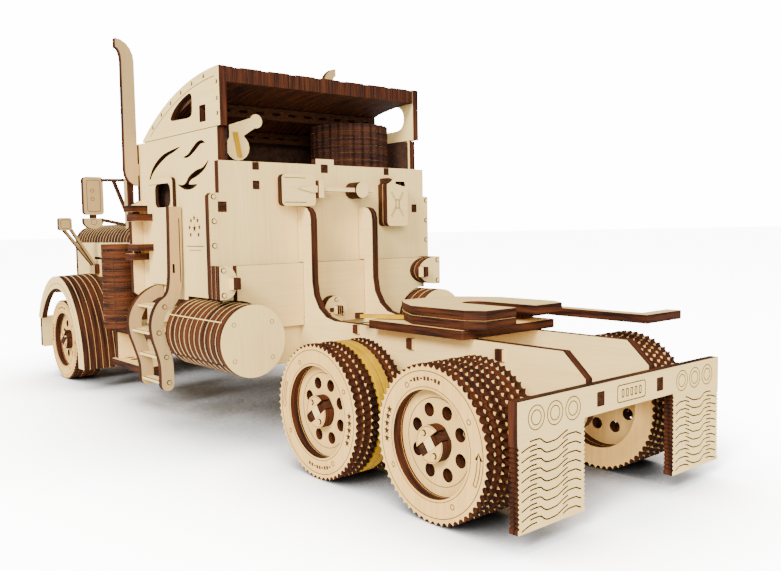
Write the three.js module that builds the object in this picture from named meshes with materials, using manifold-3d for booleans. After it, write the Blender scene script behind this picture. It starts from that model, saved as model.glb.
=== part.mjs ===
// A wooden model of a long-nosed road tractor, put together from laser-cut plywood parts.
// Millimetres. Z is up, the truck drives toward -Y, and its own left side is +X.
// The ground is Z = 0 and the origin is under the middle of the truck.
import * as THREE from 'three';
import { mergeVertices } from 'three/addons/utils/BufferGeometryUtils.js';
import Module from 'manifold-3d';

const wasm = await Module();
wasm.setup();

const PLY = 3;               // thickness of the plywood sheet
const GAP = 0.3;             // clearance left between neighbouring parts
const HALF_LENGTH = 184;     // rear face of the tail plate to the origin
const ROUND = 32;            // facets of a turned part

const WHEEL = {
  radius: 22.1, inner: 27, outer: 48, opening: 15, holes: 9.2, hub: 5.2, recess: 3.5,
};
const AXLE = { forward: 85.2, rear: 31.5, front: 333, bar: 4 };
const RAIL = { inner: 13.7, outer: 16.7, top: 46.3, bottom: 31 };
const POST = { rear: 131.5, top: 90 };
const CAB = { half: 49, rear: 144, front: 214.7, bottom: 53.5, top: 119.7 };
const BACK = { rear: 140.7, half: 50.7, top: 107, bottom: 28.3 };
const ROOF = { rear: 141.4, radius: 128.1, centre: 13.7, front: 211.5, bottom: 120 };
const TANK = { x: 46.5, z: 41, radius: 13.3, rear: 126, front: 172 };
const HOOD = { half: 30, shoulder: 76, top: 86, bottom: 57, rear: 219, front: 357.4 };
const DECK = { bottom: 46.6, top: 49.5 };
const KINGPIN = 36.7;        // distance of each steering pin from the middle

const VENEER = { color: 0xe6cfa2, roughness: 0.72, metalness: 0 };
const SHADED = { color: 0xcfae7c, roughness: 0.75, metalness: 0 };
const BURNT = { color: 0x6b3f22, roughness: 0.8, metalness: 0 };
const RUBBER = { color: 0xd3a52a, roughness: 0.55, metalness: 0 };

const truck = new THREE.Group();
truck.name = 'plywood_truck';

// y of a place d mm ahead of the rear face of the tail plate
const ahead = d => HALF_LENGTH - d;

// ---- small kit -------------------------------------------------------------------------

function solid(geometry) {
  const g = geometry.clone();
  g.deleteAttribute('normal');
  g.deleteAttribute('uv');
  const m = mergeVertices(g, 1e-5);
  const index = m.index.array;
  return new wasm.Manifold(new wasm.Mesh({
    numProp: 3, vertProperties: new Float32Array(m.attributes.position.array),
    triVerts: new Uint32Array(index),
  }));
}

function join(...solids) { return solids.reduce((a, b) => a.add(b)); }

function cut(body, ...tools) { return tools.reduce((a, b) => a.subtract(b), body); }

function addPart(name, body, look) {
  const mesh = body.getMesh();
  const g = new THREE.BufferGeometry();
  g.setAttribute('position', new THREE.BufferAttribute(new Float32Array(mesh.vertProperties), 3));
  g.setIndex(new THREE.BufferAttribute(new Uint32Array(mesh.triVerts), 1));
  g.computeVertexNormals();
  const part = new THREE.Mesh(g, new THREE.MeshStandardMaterial(look));
  part.name = name;
  truck.add(part);
}

// the same part on both sides of the truck
function addPair(name, leftBody, look) {
  addPart(`${name}_left`, leftBody, look);
  addPart(`${name}_right`, leftBody.mirror([1, 0, 0]), look);
}

// a closed outline, without repeated corners
function outline(points) {
  const apart = ([a, b], [c, d]) => Math.hypot(a - c, b - d) > 1e-4;
  const corners = points.filter((p, i) => apart(p, points[(i + 1) % points.length]));
  return new THREE.Shape(corners.map(([u, v]) => new THREE.Vector2(u, v)));
}

function extruded(shape, depth, curveSegments = 10) {
  return new THREE.ExtrudeGeometry(shape, { depth, bevelEnabled: false, curveSegments });
}

// a plate across X, drawn as (distance ahead, height)
function plateX(points, x0, x1) {
  const g = extruded(outline(points.map(([d, z]) => [ahead(d), z])), x1 - x0);
  const turn = new THREE.Matrix4().makeBasis(
    new THREE.Vector3(0, 1, 0), new THREE.Vector3(0, 0, 1), new THREE.Vector3(1, 0, 0));
  return solid(g.applyMatrix4(turn).translate(x0, 0, 0));
}

// a plate across Y, drawn as (x, height), between two distances ahead of the tail
function plateY(points, d0, d1) {
  const g = extruded(outline(points), d1 - d0);
  return solid(g.rotateX(Math.PI / 2).translate(0, ahead(d0), 0));
}

// a level plate, drawn as (x, distance ahead)
function plateZ(points, z0, z1) {
  const g = extruded(outline(points.map(([x, d]) => [x, ahead(d)])), z1 - z0);
  return solid(g.translate(0, 0, z0));
}

function block(x0, x1, d0, d1, z0, z1) {
  const g = new THREE.BoxGeometry(x1 - x0, d1 - d0, z1 - z0);
  return solid(g.translate((x0 + x1) / 2, ahead((d0 + d1) / 2), (z0 + z1) / 2));
}

function rodX(x0, x1, d, z, r, facets = ROUND) {
  const g = new THREE.CylinderGeometry(r, r, x1 - x0, facets);
  return solid(g.rotateZ(Math.PI / 2).translate((x0 + x1) / 2, ahead(d), z));
}

function rodY(x, d0, d1, z, r, facets = ROUND) {
  const g = new THREE.CylinderGeometry(r, r, d1 - d0, facets);
  return solid(g.translate(x, ahead((d0 + d1) / 2), z));
}

function rodZ(x, d, z0, z1, r, facets = ROUND) {
  const g = new THREE.CylinderGeometry(r, r, z1 - z0, facets);
  return solid(g.rotateX(Math.PI / 2).translate(x, ahead(d), (z0 + z1) / 2));
}

// a square stick between two places given as [x, distance ahead, height]
function stick(a, b, width) {
  const from = new THREE.Vector3(a[0], ahead(a[1]), a[2]);
  const to = new THREE.Vector3(b[0], ahead(b[1]), b[2]);
  const g = new THREE.BoxGeometry(width, width, from.distanceTo(to));
  const turn = new THREE.Quaternion().setFromUnitVectors(
    new THREE.Vector3(0, 0, 1), to.clone().sub(from).normalize());
  const middle = from.clone().add(to).multiplyScalar(0.5);
  return solid(g.applyQuaternion(turn).translate(middle.x, middle.y, middle.z));
}

// points along an arc of an ellipse, angles in degrees from +u toward +v
function arc(cu, cv, ru, rv, from, to, steps) {
  return Array.from({ length: steps + 1 }, (_, i) => {
    const a = THREE.MathUtils.degToRad(from + (to - from) * i / steps);
    return [cu + ru * Math.cos(a), cv + rv * Math.sin(a)];
  });
}

// a rectangle with rounded corners
function rounded(u0, u1, v0, v1, r, steps = 3) {
  return [...arc(u1 - r, v1 - r, r, r, 0, 90, steps), ...arc(u0 + r, v1 - r, r, r, 90, 180, steps),
    ...arc(u0 + r, v0 + r, r, r, 180, 270, steps), ...arc(u1 - r, v0 + r, r, r, 270, 360, steps)];
}

// ---- chassis ---------------------------------------------------------------------------

// One long side rail. A post rises behind the cab, and rounded ears carry the two axles.
function chassisRail() {
  const profile = [[3.3, RAIL.bottom], [3.3, 39.5], [10.7, RAIL.top], [117, RAIL.top],
    ...arc(117, RAIL.top + 14.5, 14.5, 14.5, 270, 360, 4), [POST.rear, POST.top - 5],
    ...arc(POST.rear + 5, POST.top - 5, 5, 5, 180, 90, 3), [140.4, POST.top], [140.4, 68.4],
    [137.1, 68.4], [137.1, RAIL.top], [364.7, RAIL.top], [364.7, RAIL.bottom]];
  const ear = d => [[d - 13, RAIL.bottom + 1], ...arc(d, WHEEL.radius, 7, 7, 180, 360, 8),
    [d + 13, RAIL.bottom + 1]];
  let rail = plateX(profile, RAIL.inner, RAIL.outer);
  for (const d of [AXLE.rear, AXLE.forward]) {
    rail = rail.add(plateX(ear(d), RAIL.inner, RAIL.outer));
    rail = cut(rail, rodX(RAIL.inner - 1, RAIL.outer + 1, d, WHEEL.radius, 3.4, 16));
  }
  return rail;
}

// An upright plate that ties the two rails together.
function crossMember(d) {
  const reach = RAIL.inner - GAP;
  return block(-reach, reach, d, d + PLY, 35, RAIL.top - GAP);
}

// The level deck that carries the coupling. It lies across the rails and narrows to the rear.
function deckPlate() {
  const narrow = RAIL.outer, wide = 22;
  return plateZ([[-narrow, 30], [narrow, 30], [narrow, 44], [wide, 44], [wide, 90], [-wide, 90],
    [-wide, 44], [-narrow, 44]], DECK.bottom, DECK.top);
}

// The tail plate with its two mud flaps hanging left and right of a wide notch.
function tailPlate() {
  const half = 48, notch = 21.4, top = 38.5, low = 5.6, lintel = 30.5;
  return plateY([[-half, low], [-notch, low], [-notch, lintel], [notch, lintel], [notch, low],
    [half, low], [half, top], [-half, top]], 0, PLY);
}

// ---- coupling --------------------------------------------------------------------------

// Outline of the coupling plates: a rounded plate with a slot that opens to the rear.
function couplingOutline() {
  return [[-4.6, 38], ...arc(0, 60, 4.6, 4.6, 180, 0, 6), [4.6, 38], [18, 38], [21.5, 44], [21.5, 68], [16, 78], [10, 86],
    [-10, 86], [-16, 78], [-21.5, 68], [-21.5, 44], [-18, 38]];
}

// The lower plate leaves room on the truck's right for the release lever.
function couplingBase() {
  return plateZ([[4.6, 38], [18, 38], [21.5, 44], [21.5, 68], [16, 78], [10, 86], [-10, 86],
    [-10, 66], [4.6, 65]], DECK.top + GAP, DECK.top + GAP + PLY - 0.2);
}

function couplingPlate() {
  return plateZ(couplingOutline(), DECK.top + PLY + 0.4, DECK.top + 2 * PLY + 0.2);
}

// A flat cranked lever. It turns on a pin under the coupling and reaches back past the rail.
function releaseLever() {
  const z0 = DECK.top + GAP, z1 = z0 + PLY - 0.2, w = 2.6;
  const boss = rodZ(-16, 55, z0, z1, 5, 16);
  const inboard = block(-33.5, -16, 55 - w, 55 + w, z0, z1);
  const arm = plateZ([[-33.5, 57.6], [-28.3, 57.6], [-27, 12.4], [-47, 12.4], [-47, 17.4],
    [-32.2, 17.4]], z0, z1);
  return join(boss, inboard, arm);
}

// ---- wheels ----------------------------------------------------------------------------

// Profile of a wheel as (radius, x). The disc sits inside the tyre, the hub is level with it.
function wheelProfile(inner, outer, groove, discInner) {
  const { radius, opening, hub, recess } = WHEEL;
  const disc = outer - recess;
  const tread = groove
    ? [[radius, inner], [radius, groove[0]], [20.3, groove[0]], [20.3, groove[1]],
       [radius, groove[1]], [radius, outer]]
    : [[radius, inner], [radius, outer]];
  return [[0, discInner], [opening, discInner], [opening, inner], ...tread, [opening, outer],
    [opening, disc], [hub, disc], [hub, outer], [0, outer]];
}

function wheel(d, inner, outer, groove, discInner, bore) {
  const points = wheelProfile(inner, outer, groove, discInner)
    .map(([r, x]) => new THREE.Vector2(r, x));
  const g = new THREE.LatheGeometry(points, 36);
  let body = solid(g.rotateZ(-Math.PI / 2).translate(0, ahead(d), WHEEL.radius));
  for (let i = 0; i < 8; i++) {
    const a = (i + 0.5) * Math.PI / 4;
    body = cut(body, rodX(inner - 1, outer + 1, d - WHEEL.holes * Math.cos(a),
      WHEEL.radius + WHEEL.holes * Math.sin(a), 2, 10));
  }
  return cut(body, bore);
}

function squareBore(d, size) {
  return block(WHEEL.inner - 5, WHEEL.outer + 5, d - size / 2, d + size / 2,
    WHEEL.radius - size / 2, WHEEL.radius + size / 2);
}

// A square bar that carries a left and a right wheel.
function axleBar(d) {
  const s = AXLE.bar / 2, reach = WHEEL.outer;
  return block(-reach, reach, d - s, d + s, WHEEL.radius - s, WHEEL.radius + s);
}

// The rubber bands stretched round the middle groove of a forward driving wheel.
function gripRing() {
  const ring = rodX(33.3, 38.7, AXLE.forward, WHEEL.radius, 21.9, 36);
  return cut(ring, rodX(30, 42, AXLE.forward, WHEEL.radius, 20.6, 36));
}

// ---- front axle ------------------------------------------------------------------------

function frontBeam() {
  const d = AXLE.front, reach = KINGPIN - 3.5 - GAP;
  return plateY([[-reach, 17], [reach, 17], [reach, 27], [22, RAIL.bottom - GAP],
    [-22, RAIL.bottom - GAP], [-reach, 27]], d - PLY / 2, d + PLY / 2);
}

// The upright on the steering pin, with the stub the front wheel turns on.
function steeringKnuckle() {
  const pin = rodZ(KINGPIN, AXLE.front, 15, 29, 3.5, 16);
  return join(pin, rodX(KINGPIN, WHEEL.outer, AXLE.front, WHEEL.radius, 2, 16));
}

// ---- nose ------------------------------------------------------------------------------

function frontBumper() {
  return plateY(rounded(-50, 50, 15, 33, 1), 365, 368);
}

function hoodOutline(half, shoulder, top, bottom, corner) {
  return [[-half, bottom], [half, bottom], ...arc(half - corner, shoulder, corner, top - shoulder,
    0, 90, 5), ...arc(corner - half, shoulder, corner, top - shoulder, 90, 180, 5)];
}

// The long engine cover: two flat sides under a rounded, ribbed top. It is open underneath.
function hood() {
  const { half, shoulder, top, bottom, rear, front } = HOOD;
  const shell = plateY(hoodOutline(half, shoulder, top, bottom, 12), rear, front);
  return cut(shell, plateY(hoodOutline(half - PLY, shoulder, top - PLY, bottom - 5, 11),
    rear - 5, front + 5));
}

// The radiator front with upright slots. It stands at the front of the hood and tips with it.
function grille() {
  const { half, shoulder, top, front } = HOOD;
  let plate = plateY(hoodOutline(half, shoulder, top, RAIL.top + GAP, 12), front + GAP,
    front + GAP + PLY);
  for (let i = -4; i <= 4; i++) {
    plate = cut(plate, block(i * 5 - 1, i * 5 + 1, front - 5, front + 9, 54, 80));
  }
  return plate;
}

// Side outline of a front fender: an arch that drops low behind the wheel.
function fenderOutline(frontLow) {
  const c = 325, low = 11;
  const outerFront = arc(c, low, 40, 47.5, 28, 90, 7), outerRear = arc(c, low, 38, 47.5, 90, 180, 8);
  const innerRear = arc(c, low, 30, 40.5, 180, 90, 8), innerFront = arc(c, low, 34.5, 40.5, 90, 33, 6);
  return frontLow ? [...outerFront, ...outerRear, ...innerRear, ...innerFront]
    : [...arc(c, low, 40, 47.5, 62, 90, 3), ...outerRear, ...innerRear,
       ...arc(c, low, 34.5, 40.5, 90, 62, 3)];
}

// Six arched plates side by side, with a tongue that reaches the chassis rail.
function fender() {
  const outer = plateX(fenderOutline(true), 50, 53);
  const stack = plateX(fenderOutline(false), 33.5, 50);
  return join(outer, stack, block(RAIL.outer + GAP, 35, 290, 295, 34, 42));
}

// A small square mirror held above the fender by two struts from the side of the hood.
function fenderMirror() {
  const glass = block(45.2, 52.2, 318.5, 321.5, 83.2, 89.8);
  const foot = block(HOOD.half + GAP, HOOD.half + 3, 322, 330, 59, 64);
  return join(glass, foot, stick([31.5, 327, 62], [48, 320, 84], 2), stick([31.5, 324, 62],
    [46.5, 320, 84.5], 2));
}

// ---- cab -------------------------------------------------------------------------------

function cabSide() {
  const side = plateX([[CAB.rear, CAB.bottom], [CAB.rear, CAB.top], [CAB.front, CAB.top],
    [CAB.front, CAB.bottom]], CAB.half - PLY, CAB.half);
  return cut(side, plateX(rounded(183.5, 203, 61.5, 101, 2), CAB.half - 5, CAB.half + 1),
    rodY(TANK.x, CAB.rear - 5, TANK.front + 1, TANK.z, TANK.radius + 0.7));
}

// The door is a thin leaf that lies on the cab side and swings on its front edge.
function door() {
  const x0 = CAB.half + GAP, x1 = x0 + PLY / 2;
  const leaf = plateX(rounded(180, 205, 59.2, 103.3, 2), x0, x1);
  return cut(leaf, plateX(rounded(183.4, 196.8, 91.2, 101, 1.5), x0 - 1, x1 + 1));
}

// The wall behind the engine, with two windscreen openings. Its lower half stands wider.
function cabFrontWall() {
  const wall = plateY([[-54, 55], [-54, 93], [-49.5, 95], [-49.5, 119.7], [49.5, 119.7], [49.5, 95],
    [54, 93], [54, 55], [48, 50.3], [-48, 50.3]], 215, 218);
  return cut(wall, plateY(rounded(3, 44, 92, 115, 3), 210, 222),
    plateY(rounded(-44, -3, 92, 115, 3), 210, 222));
}

// The floor of the cab, with two pads that rest on the rails.
function cabFloor() {
  const floor = plateZ([[-31, CAB.rear], [31, CAB.rear], [31, 173], [48.7, 175], [48.7, CAB.front],
    [-48.7, CAB.front], [-48.7, 175], [-31, 173]], 50.3, 53.2);
  const pad = s => block(Math.min(s * 13.7, s * 16.7), Math.max(s * 13.7, s * 16.7), 150, 210,
    RAIL.top + GAP, 51);
  return join(floor, pad(1), pad(-1));
}

// The back wall of the cab. It is cut away round the tanks and between the rails.
function backPanel() {
  const { rear, half, top, bottom } = BACK;
  const railNotch = s => block(Math.min(s * 13.4, s * 17), Math.max(s * 13.4, s * 17), rear - 1,
    rear + 4, 20, RAIL.top + GAP);
  const panel = cut(block(-half, half, rear, rear + PLY, bottom, top), railNotch(1), railNotch(-1));
  const tab = block(-1.6, 7.3, rear, rear + PLY, top - 1, 109.3);
  const tank = s => rodY(s * TANK.x, rear - 2, rear + 5, TANK.z, TANK.radius + 0.7);
  return cut(join(panel, tab), tank(1), tank(-1), block(-15, 15, rear - 1, rear + 4, 20, 43.5));
}

// A second sheet on the lower part of the back wall.
function lowerBackPanel() {
  const d0 = 137.4, d1 = 140.4;
  const sheet = block(-46.2, 46.2, d0, d1, 43.5, 68);
  const tank = s => rodY(s * TANK.x, d0 - 2, d1 + 2, TANK.z, TANK.radius + 0.7);
  const railNotch = s => block(Math.min(s * 13.4, s * 17), Math.max(s * 13.4, s * 17), d0 - 1,
    d1 + 1, 40, RAIL.top + GAP);
  return cut(sheet, tank(1), tank(-1), railNotch(1), railNotch(-1));
}

// A plate on one rear corner of the cab. It carries a thick half disc and a square peg.
function cornerBracket(reach) {
  const plate = plateY(rounded(46.5, reach, 56.5, 95, 1.5, 2), 137.4, 140.4);
  const halfDisc = plateY([...arc(49.5, 62, 6.2, 6.2, 50, 310, 10)], 131.4, 137.1);
  const neck = block(47.5, 52.5, 136, 138.5, 58, 66);
  return join(plate, halfDisc, neck, block(47.4, 51.3, 128.6, 133, 59.6, 64.2));
}

// The shelf inside the cab that carries the drum and the lever.
function sleeperShelf() {
  return block(-45.7, 45.7, CAB.rear, 196, 104, 107);
}

// ---- roof ------------------------------------------------------------------------------

function roofArc(radius, steps) {
  const { rear, front, centre } = ROOF;
  const end = THREE.MathUtils.radToDeg(Math.acos((front - rear) / ROOF.radius));
  return arc(rear, centre, radius, radius, end, 90, steps);
}

// Each side of the raised roof: two plies thick, curved above, with a small window.
function roofSide() {
  const { rear, front, bottom, radius } = ROOF;
  const side = plateX([[rear, bottom], [front, bottom], ...roofArc(radius, 12)], CAB.half - 2 * PLY,
    CAB.half);
  const window_ = plateX([[183.5, 126.6], [182.5, 125.6], [164.5, 125.6], [163.5, 126.6],
    [163.5, 133.6], [165, 134.8], [168.5, 134.4], [178, 131]], CAB.half - 8, CAB.half + 1);
  return cut(side, window_, block(CAB.half - 8, CAB.half + 1, 152.5, 157.7, 122.6, 129));
}

// The curved skin between the two roof sides.
function roofSkin() {
  const reach = CAB.half - 2 * PLY - GAP;
  const outer = roofArc(ROOF.radius - 0.1, 12), inner = roofArc(ROOF.radius - 5.8, 12).reverse();
  return plateX([...outer, ...inner], -reach, reach);
}

// ---- things on the outside -------------------------------------------------------------

// A flat exhaust stack beside the cab. It curls outward at the top.
function exhaust() {
  const top = arc(58.2, 155, 7.9, 9.3, 180, 90, 5), under = arc(58.2, 155, 2.4, 5.5, 90, 180, 4);
  const stack = plateY([[50.3, 101.5], [50.3, 155], ...top, ...under, [56, 108],
    ...arc(50.3, 108, 5.7, 6.5, 0, -90, 4)], 215, 218);
  return join(stack, block(49.8, 50.6, 215, 218, 106, 111));
}

// An upright air cleaner made of stacked discs.
function airCleaner() {
  return rodZ(50.6, 240, 37.3, 76, 7.8, 24);
}

// A tall mirror on a bracket that springs from the front corner of the cab.
function doorMirror() {
  const z1 = 106.5;
  const glass = plateY(rounded(57.3, 66.8, 88.2, z1, 1.5, 2), 238, 241);
  const low = plateY(arc(62, 87.5, 4.7, 4.5, 0, 360, 12).slice(0, -1), 238, 241);
  const foot = block(51, 54.5, 218.3, 222, 84, 104);
  return join(glass, low, foot, stick([53, 220, 102], [59, 239.5, 104.8], 2),
    stick([53, 220, 85.5], [59, 239.5, 89], 2));
}

// A band of even width along a smooth line through the given points.
function flowing(points, width) {
  const line = new THREE.SplineCurve(points.map(([u, v]) => new THREE.Vector2(u, v)));
  const edge = side => Array.from({ length: 29 }, (_, i) => {
    const at = line.getPoint(i / 28), run = line.getTangent(i / 28);
    return [at.x - run.y * side * width / 2, at.y + run.x * side * width / 2];
  });
  return [...edge(1), ...edge(-1).reverse()];
}

// Two uprights that curve outward like an S, joined by four rungs.
function stepFrame() {
  const rear = plateY(flowing([[52.2, 91], [52.4, 76], [52.9, 61], [54.8, 54.5], [59, 50.8],
    [61.1, 45.5], [60.9, 40], [59.2, 34], [57.9, 28], [57.8, 17]], 5.2), 175, 178);
  const front = plateY(flowing([[49.3, 56.2], [53, 55.8], [58.2, 52.5], [61.7, 47], [62.1, 41],
    [60, 34], [58, 27], [57.7, 17]], 5.2), 195, 198);
  const rung = (x, z) => block(x - 1.5, x + 1.5, 176, 197, z - 1.5, z + 1.5);
  return join(rear, front, rung(59, 51), rung(61.4, 40.5), rung(58.5, 30), rung(57.7, 20.5));
}

// A round fuel tank with the bracket that holds it to the rail.
function fuelTank() {
  const barrel = rodY(TANK.x, TANK.rear, TANK.front, TANK.z, TANK.radius);
  return join(barrel, block(RAIL.outer + GAP, 36, 150, 170, 37, 45));
}

// The box between the step and the fender, with its bracket to the rail.
function sideBox() {
  const box = block(36, 50, 206, 256, 17.6, 37);
  return cut(join(box, block(RAIL.outer + GAP, 37, 220, 246, 33, 37)),
    block(45, 55, 209, 253, 20.8, 33));
}

// ---- carried on the back wall ----------------------------------------------------------

function shovel() {
  const blade = plateY(rounded(12, 27.5, 90.2, 102.4, 2, 2), 134.4, 137.4);
  const handle = block(-17.4, 20, 134.4, 137.4, 95.3, 98.3);
  const clamp = (x0, x1) => block(x0, x1, 133, 140.4, 93.4, 100.2);
  return join(blade, handle, clamp(8.5, 11.5), clamp(-12.5, -8));
}

function jerryCan() {
  const can = plateY(rounded(-36, -24.5, 82, 102, 2, 2), 134.4, 140.4);
  return cut(can, plateY(rounded(-33.5, -27.5, 98.2, 100.2, 0.8, 1), 130, 145));
}

// The round socket at the foot of the back wall, with its square peg.
function windingHub() {
  return join(rodY(4, 133.4, 137.1, 48.8, 5.5, 20), block(2.4, 5.6, 130.6, 134, 47.2, 50.4));
}

// A stack of discs on the shelf.
function driveDrum() {
  return rodZ(-25.4, 161.5, 107.3, 126, 17.2, 32);
}

// The lever inside the cab with a round knob.
function sleeperLever() {
  const foot = rodY(38.8, 147, 150, 112.8, 5, 16);
  const neck = plateY([[42.3, 112.8], [42.3, 121], [30.8, 125], [29.8, 121.4], [36, 117.4],
    [34.6, 112.8]], 147, 150);
  return join(foot, neck, rodY(30.5, 147, 150, 123.2, 2.7, 14));
}

// ---- assembly --------------------------------------------------------------------------

addPair('chassis_rail', chassisRail(), VENEER);
addPart('cross_member_front', crossMember(106), VENEER);
addPart('cross_member_rear', crossMember(75), VENEER);
addPart('deck_plate', deckPlate(), VENEER);
addPart('tail_plate', tailPlate(), VENEER);

addPart('coupling_base', couplingBase(), VENEER);
addPart('coupling_plate', couplingPlate(), VENEER);
addPart('release_lever', releaseLever(), VENEER);

addPart('forward_axle', axleBar(AXLE.forward), BURNT);
addPart('rear_axle', axleBar(AXLE.rear), BURNT);
const bore = AXLE.bar + 2 * GAP;
addPair('forward_wheel', wheel(AXLE.forward, WHEEL.inner, WHEEL.outer, [33, 39], WHEEL.inner + 6,
  squareBore(AXLE.forward, bore)), VENEER);
addPair('rear_wheel', wheel(AXLE.rear, WHEEL.inner, WHEEL.outer, null, WHEEL.inner + 6,
  squareBore(AXLE.rear, bore)), VENEER);
addPair('grip_ring', gripRing(), RUBBER);

addPart('front_beam', frontBeam(), VENEER);
addPair('steering_knuckle', steeringKnuckle(), BURNT);
addPair('front_wheel', wheel(AXLE.front, 33, WHEEL.outer, null, 42,
  rodX(30, 60, AXLE.front, WHEEL.radius, 2 + GAP, 16)), VENEER);

addPart('front_bumper', frontBumper(), VENEER);
addPart('grille', grille(), VENEER);
addPart('hood', hood(), VENEER);
addPair('fender', fender(), VENEER);
addPair('fender_mirror', fenderMirror(), SHADED);

addPair('cab_side', cabSide(), VENEER);
addPair('door', door(), VENEER);
addPart('cab_front_wall', cabFrontWall(), VENEER);
addPart('cab_floor', cabFloor(), VENEER);
addPart('back_panel', backPanel(), VENEER);
addPart('lower_back_panel', lowerBackPanel(), VENEER);
addPart('corner_bracket_left', cornerBracket(56.3), VENEER);
addPart('corner_bracket_right', cornerBracket(52.6).mirror([1, 0, 0]), VENEER);
addPart('sleeper_shelf', sleeperShelf(), VENEER);
addPair('roof_side', roofSide(), VENEER);
addPart('roof_skin', roofSkin(), BURNT);

addPair('exhaust', exhaust(), SHADED);
addPair('air_cleaner', airCleaner(), BURNT);
addPair('door_mirror', doorMirror(), SHADED);
addPair('step_frame', stepFrame(), SHADED);
addPair('fuel_tank', fuelTank(), VENEER);
addPair('side_box', sideBox(), VENEER);

addPart('shovel', shovel(), VENEER);
addPart('jerry_can', jerryCan(), VENEER);
addPart('winding_hub', windingHub(), BURNT);
addPart('drive_drum', driveDrum(), BURNT);
addPart('sleeper_lever', sleeperLever(), VENEER);

export default truck;
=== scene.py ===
# %% [markdown]
# # A plywood model truck, dressed
#
# The truck is a kit of laser-cut plywood sheets. The solids and the joints come from the
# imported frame, and this lesson adds what the eye looks for: veneer with its grain, burnt
# edges, toothed tyres built from plies, slit mud flaps, pin ends and rubber bands.
# A new piece rides on a body of the frame by name, so it turns when its body turns.

# %% Load the frame
import math

import bmesh
import bpy
from mathutils import Matrix, Vector


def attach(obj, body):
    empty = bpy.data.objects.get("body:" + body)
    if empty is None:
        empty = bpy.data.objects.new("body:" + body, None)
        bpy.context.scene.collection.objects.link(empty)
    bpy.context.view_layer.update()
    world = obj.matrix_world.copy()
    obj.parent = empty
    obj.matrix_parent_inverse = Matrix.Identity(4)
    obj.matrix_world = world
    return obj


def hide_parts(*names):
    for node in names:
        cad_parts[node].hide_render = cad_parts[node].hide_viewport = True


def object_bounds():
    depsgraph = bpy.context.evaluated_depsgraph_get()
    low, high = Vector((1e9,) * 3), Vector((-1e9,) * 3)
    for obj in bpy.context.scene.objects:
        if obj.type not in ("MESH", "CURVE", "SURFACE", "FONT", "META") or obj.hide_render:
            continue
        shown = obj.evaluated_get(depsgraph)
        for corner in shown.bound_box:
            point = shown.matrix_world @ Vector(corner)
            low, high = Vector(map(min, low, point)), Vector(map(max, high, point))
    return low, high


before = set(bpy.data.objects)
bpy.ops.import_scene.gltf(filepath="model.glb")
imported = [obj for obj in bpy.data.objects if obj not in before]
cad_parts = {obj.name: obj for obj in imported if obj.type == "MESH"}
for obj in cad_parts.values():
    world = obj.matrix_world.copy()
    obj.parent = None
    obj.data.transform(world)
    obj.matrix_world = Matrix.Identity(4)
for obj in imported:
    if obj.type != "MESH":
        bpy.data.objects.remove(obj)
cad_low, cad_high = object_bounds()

print("frame box, mm:", [round(1000 * (b - a), 1) for a, b in zip(cad_low, cad_high)])

# %% [markdown]
# ## Where things are
#
# Everything below is drawn in millimetres. Most parts of a truck are easiest to place by
# how far they stand ahead of its tail, so `ahead` turns that distance into Y.

# %% Measures
PLY = 3.0
TAIL = 1000 * cad_high.y


def ahead(distance):
    return TAIL - distance


AXES = {"X": Vector((1, 0, 0)), "Y": Vector((0, 1, 0)), "Z": Vector((0, 0, 1))}


def place(axis, u, v, level):
    """A point of a flat drawing. X sheets are drawn as (distance ahead, height), Y sheets as
    (x, height) and Z sheets as (x, distance ahead)."""
    if axis == "X":
        return Vector((level, ahead(u), v))
    if axis == "Y":
        return Vector((u, ahead(level), v))
    return Vector((u, ahead(v), level))


WHEEL_RADIUS = 22.1
AXLES = {"forward": 85.2, "rear": 31.5, "front": 333.0}
print("tail face at y =", TAIL, "mm")

# %% [markdown]
# ## Camera
#
# The camera stands low, behind the truck and to its left, and looks forward along it, with
# a lens of about 37 mm. Its turn is written as yaw, pitch and a very small roll.

# %% Camera
yaw, pitch, roll = (math.radians(a) for a in (140.0545, 4.009, -0.9746))
back = Vector((math.sin(yaw) * math.cos(pitch), -math.cos(yaw) * math.cos(pitch), math.sin(pitch)))
right = Vector((math.cos(yaw), math.sin(yaw), 0))
up = back.cross(right)
right, up = (right * math.cos(roll) + up * math.sin(roll),
             up * math.cos(roll) - right * math.sin(roll))
camera = bpy.data.objects.new("camera", bpy.data.cameras.new("camera"))
camera.data.lens, camera.data.sensor_width = 36.65, 36.0
camera.data.clip_start, camera.data.clip_end = 0.01, 20
camera.matrix_world = Matrix.Translation((0.19168, 0.30893, 0.08038)) @ Matrix(
    (right, up, back)).transposed().to_4x4()
bpy.context.scene.collection.objects.link(camera)
bpy.context.scene.camera = camera
print("camera at", tuple(round(c, 3) for c in camera.location))

# %% [markdown]
# ## Helpers for floor and light
#
# A white floor has to look white to the camera without flooding the truck with bounced
# light, and a shadow has to be deepest where a wheel or a flap comes near it. Light Path
# tells what the eye sees directly, and Ambient Occlusion how close the next piece is.

# %% Lamp, direct sight and contact shade
def lamp(name, kind, spot, size, power):
    """A sun of some angle or a round lamp of some width, aimed at the truck."""
    light = bpy.data.lights.new(name, kind)
    light.energy = power
    if kind == "SUN":
        light.angle = math.radians(size)
    else:
        light.shape, light.size = "DISK", size
    holder = bpy.data.objects.new(name, light)
    holder.location = spot
    holder.rotation_euler = (Vector((0, 0, 0.05)) - Vector(spot)).to_track_quat("-Z", "Y").to_euler()
    bpy.context.scene.collection.objects.link(holder)


def seen_directly(tree, otherwise, value):
    """One number for what the eye sees directly, and another for the light that bounces."""
    path = tree.nodes.new("ShaderNodeLightPath")
    pick = tree.nodes.new("ShaderNodeMapRange")
    pick.inputs["To Min"].default_value, pick.inputs["To Max"].default_value = otherwise, value
    tree.links.new(path.outputs["Is Camera Ray"], pick.inputs["Value"])
    return pick


SHADE_REACH, SHADE_POWER = 0.12, 2.4   # how far above a piece still shades, m, and how steeply


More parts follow.
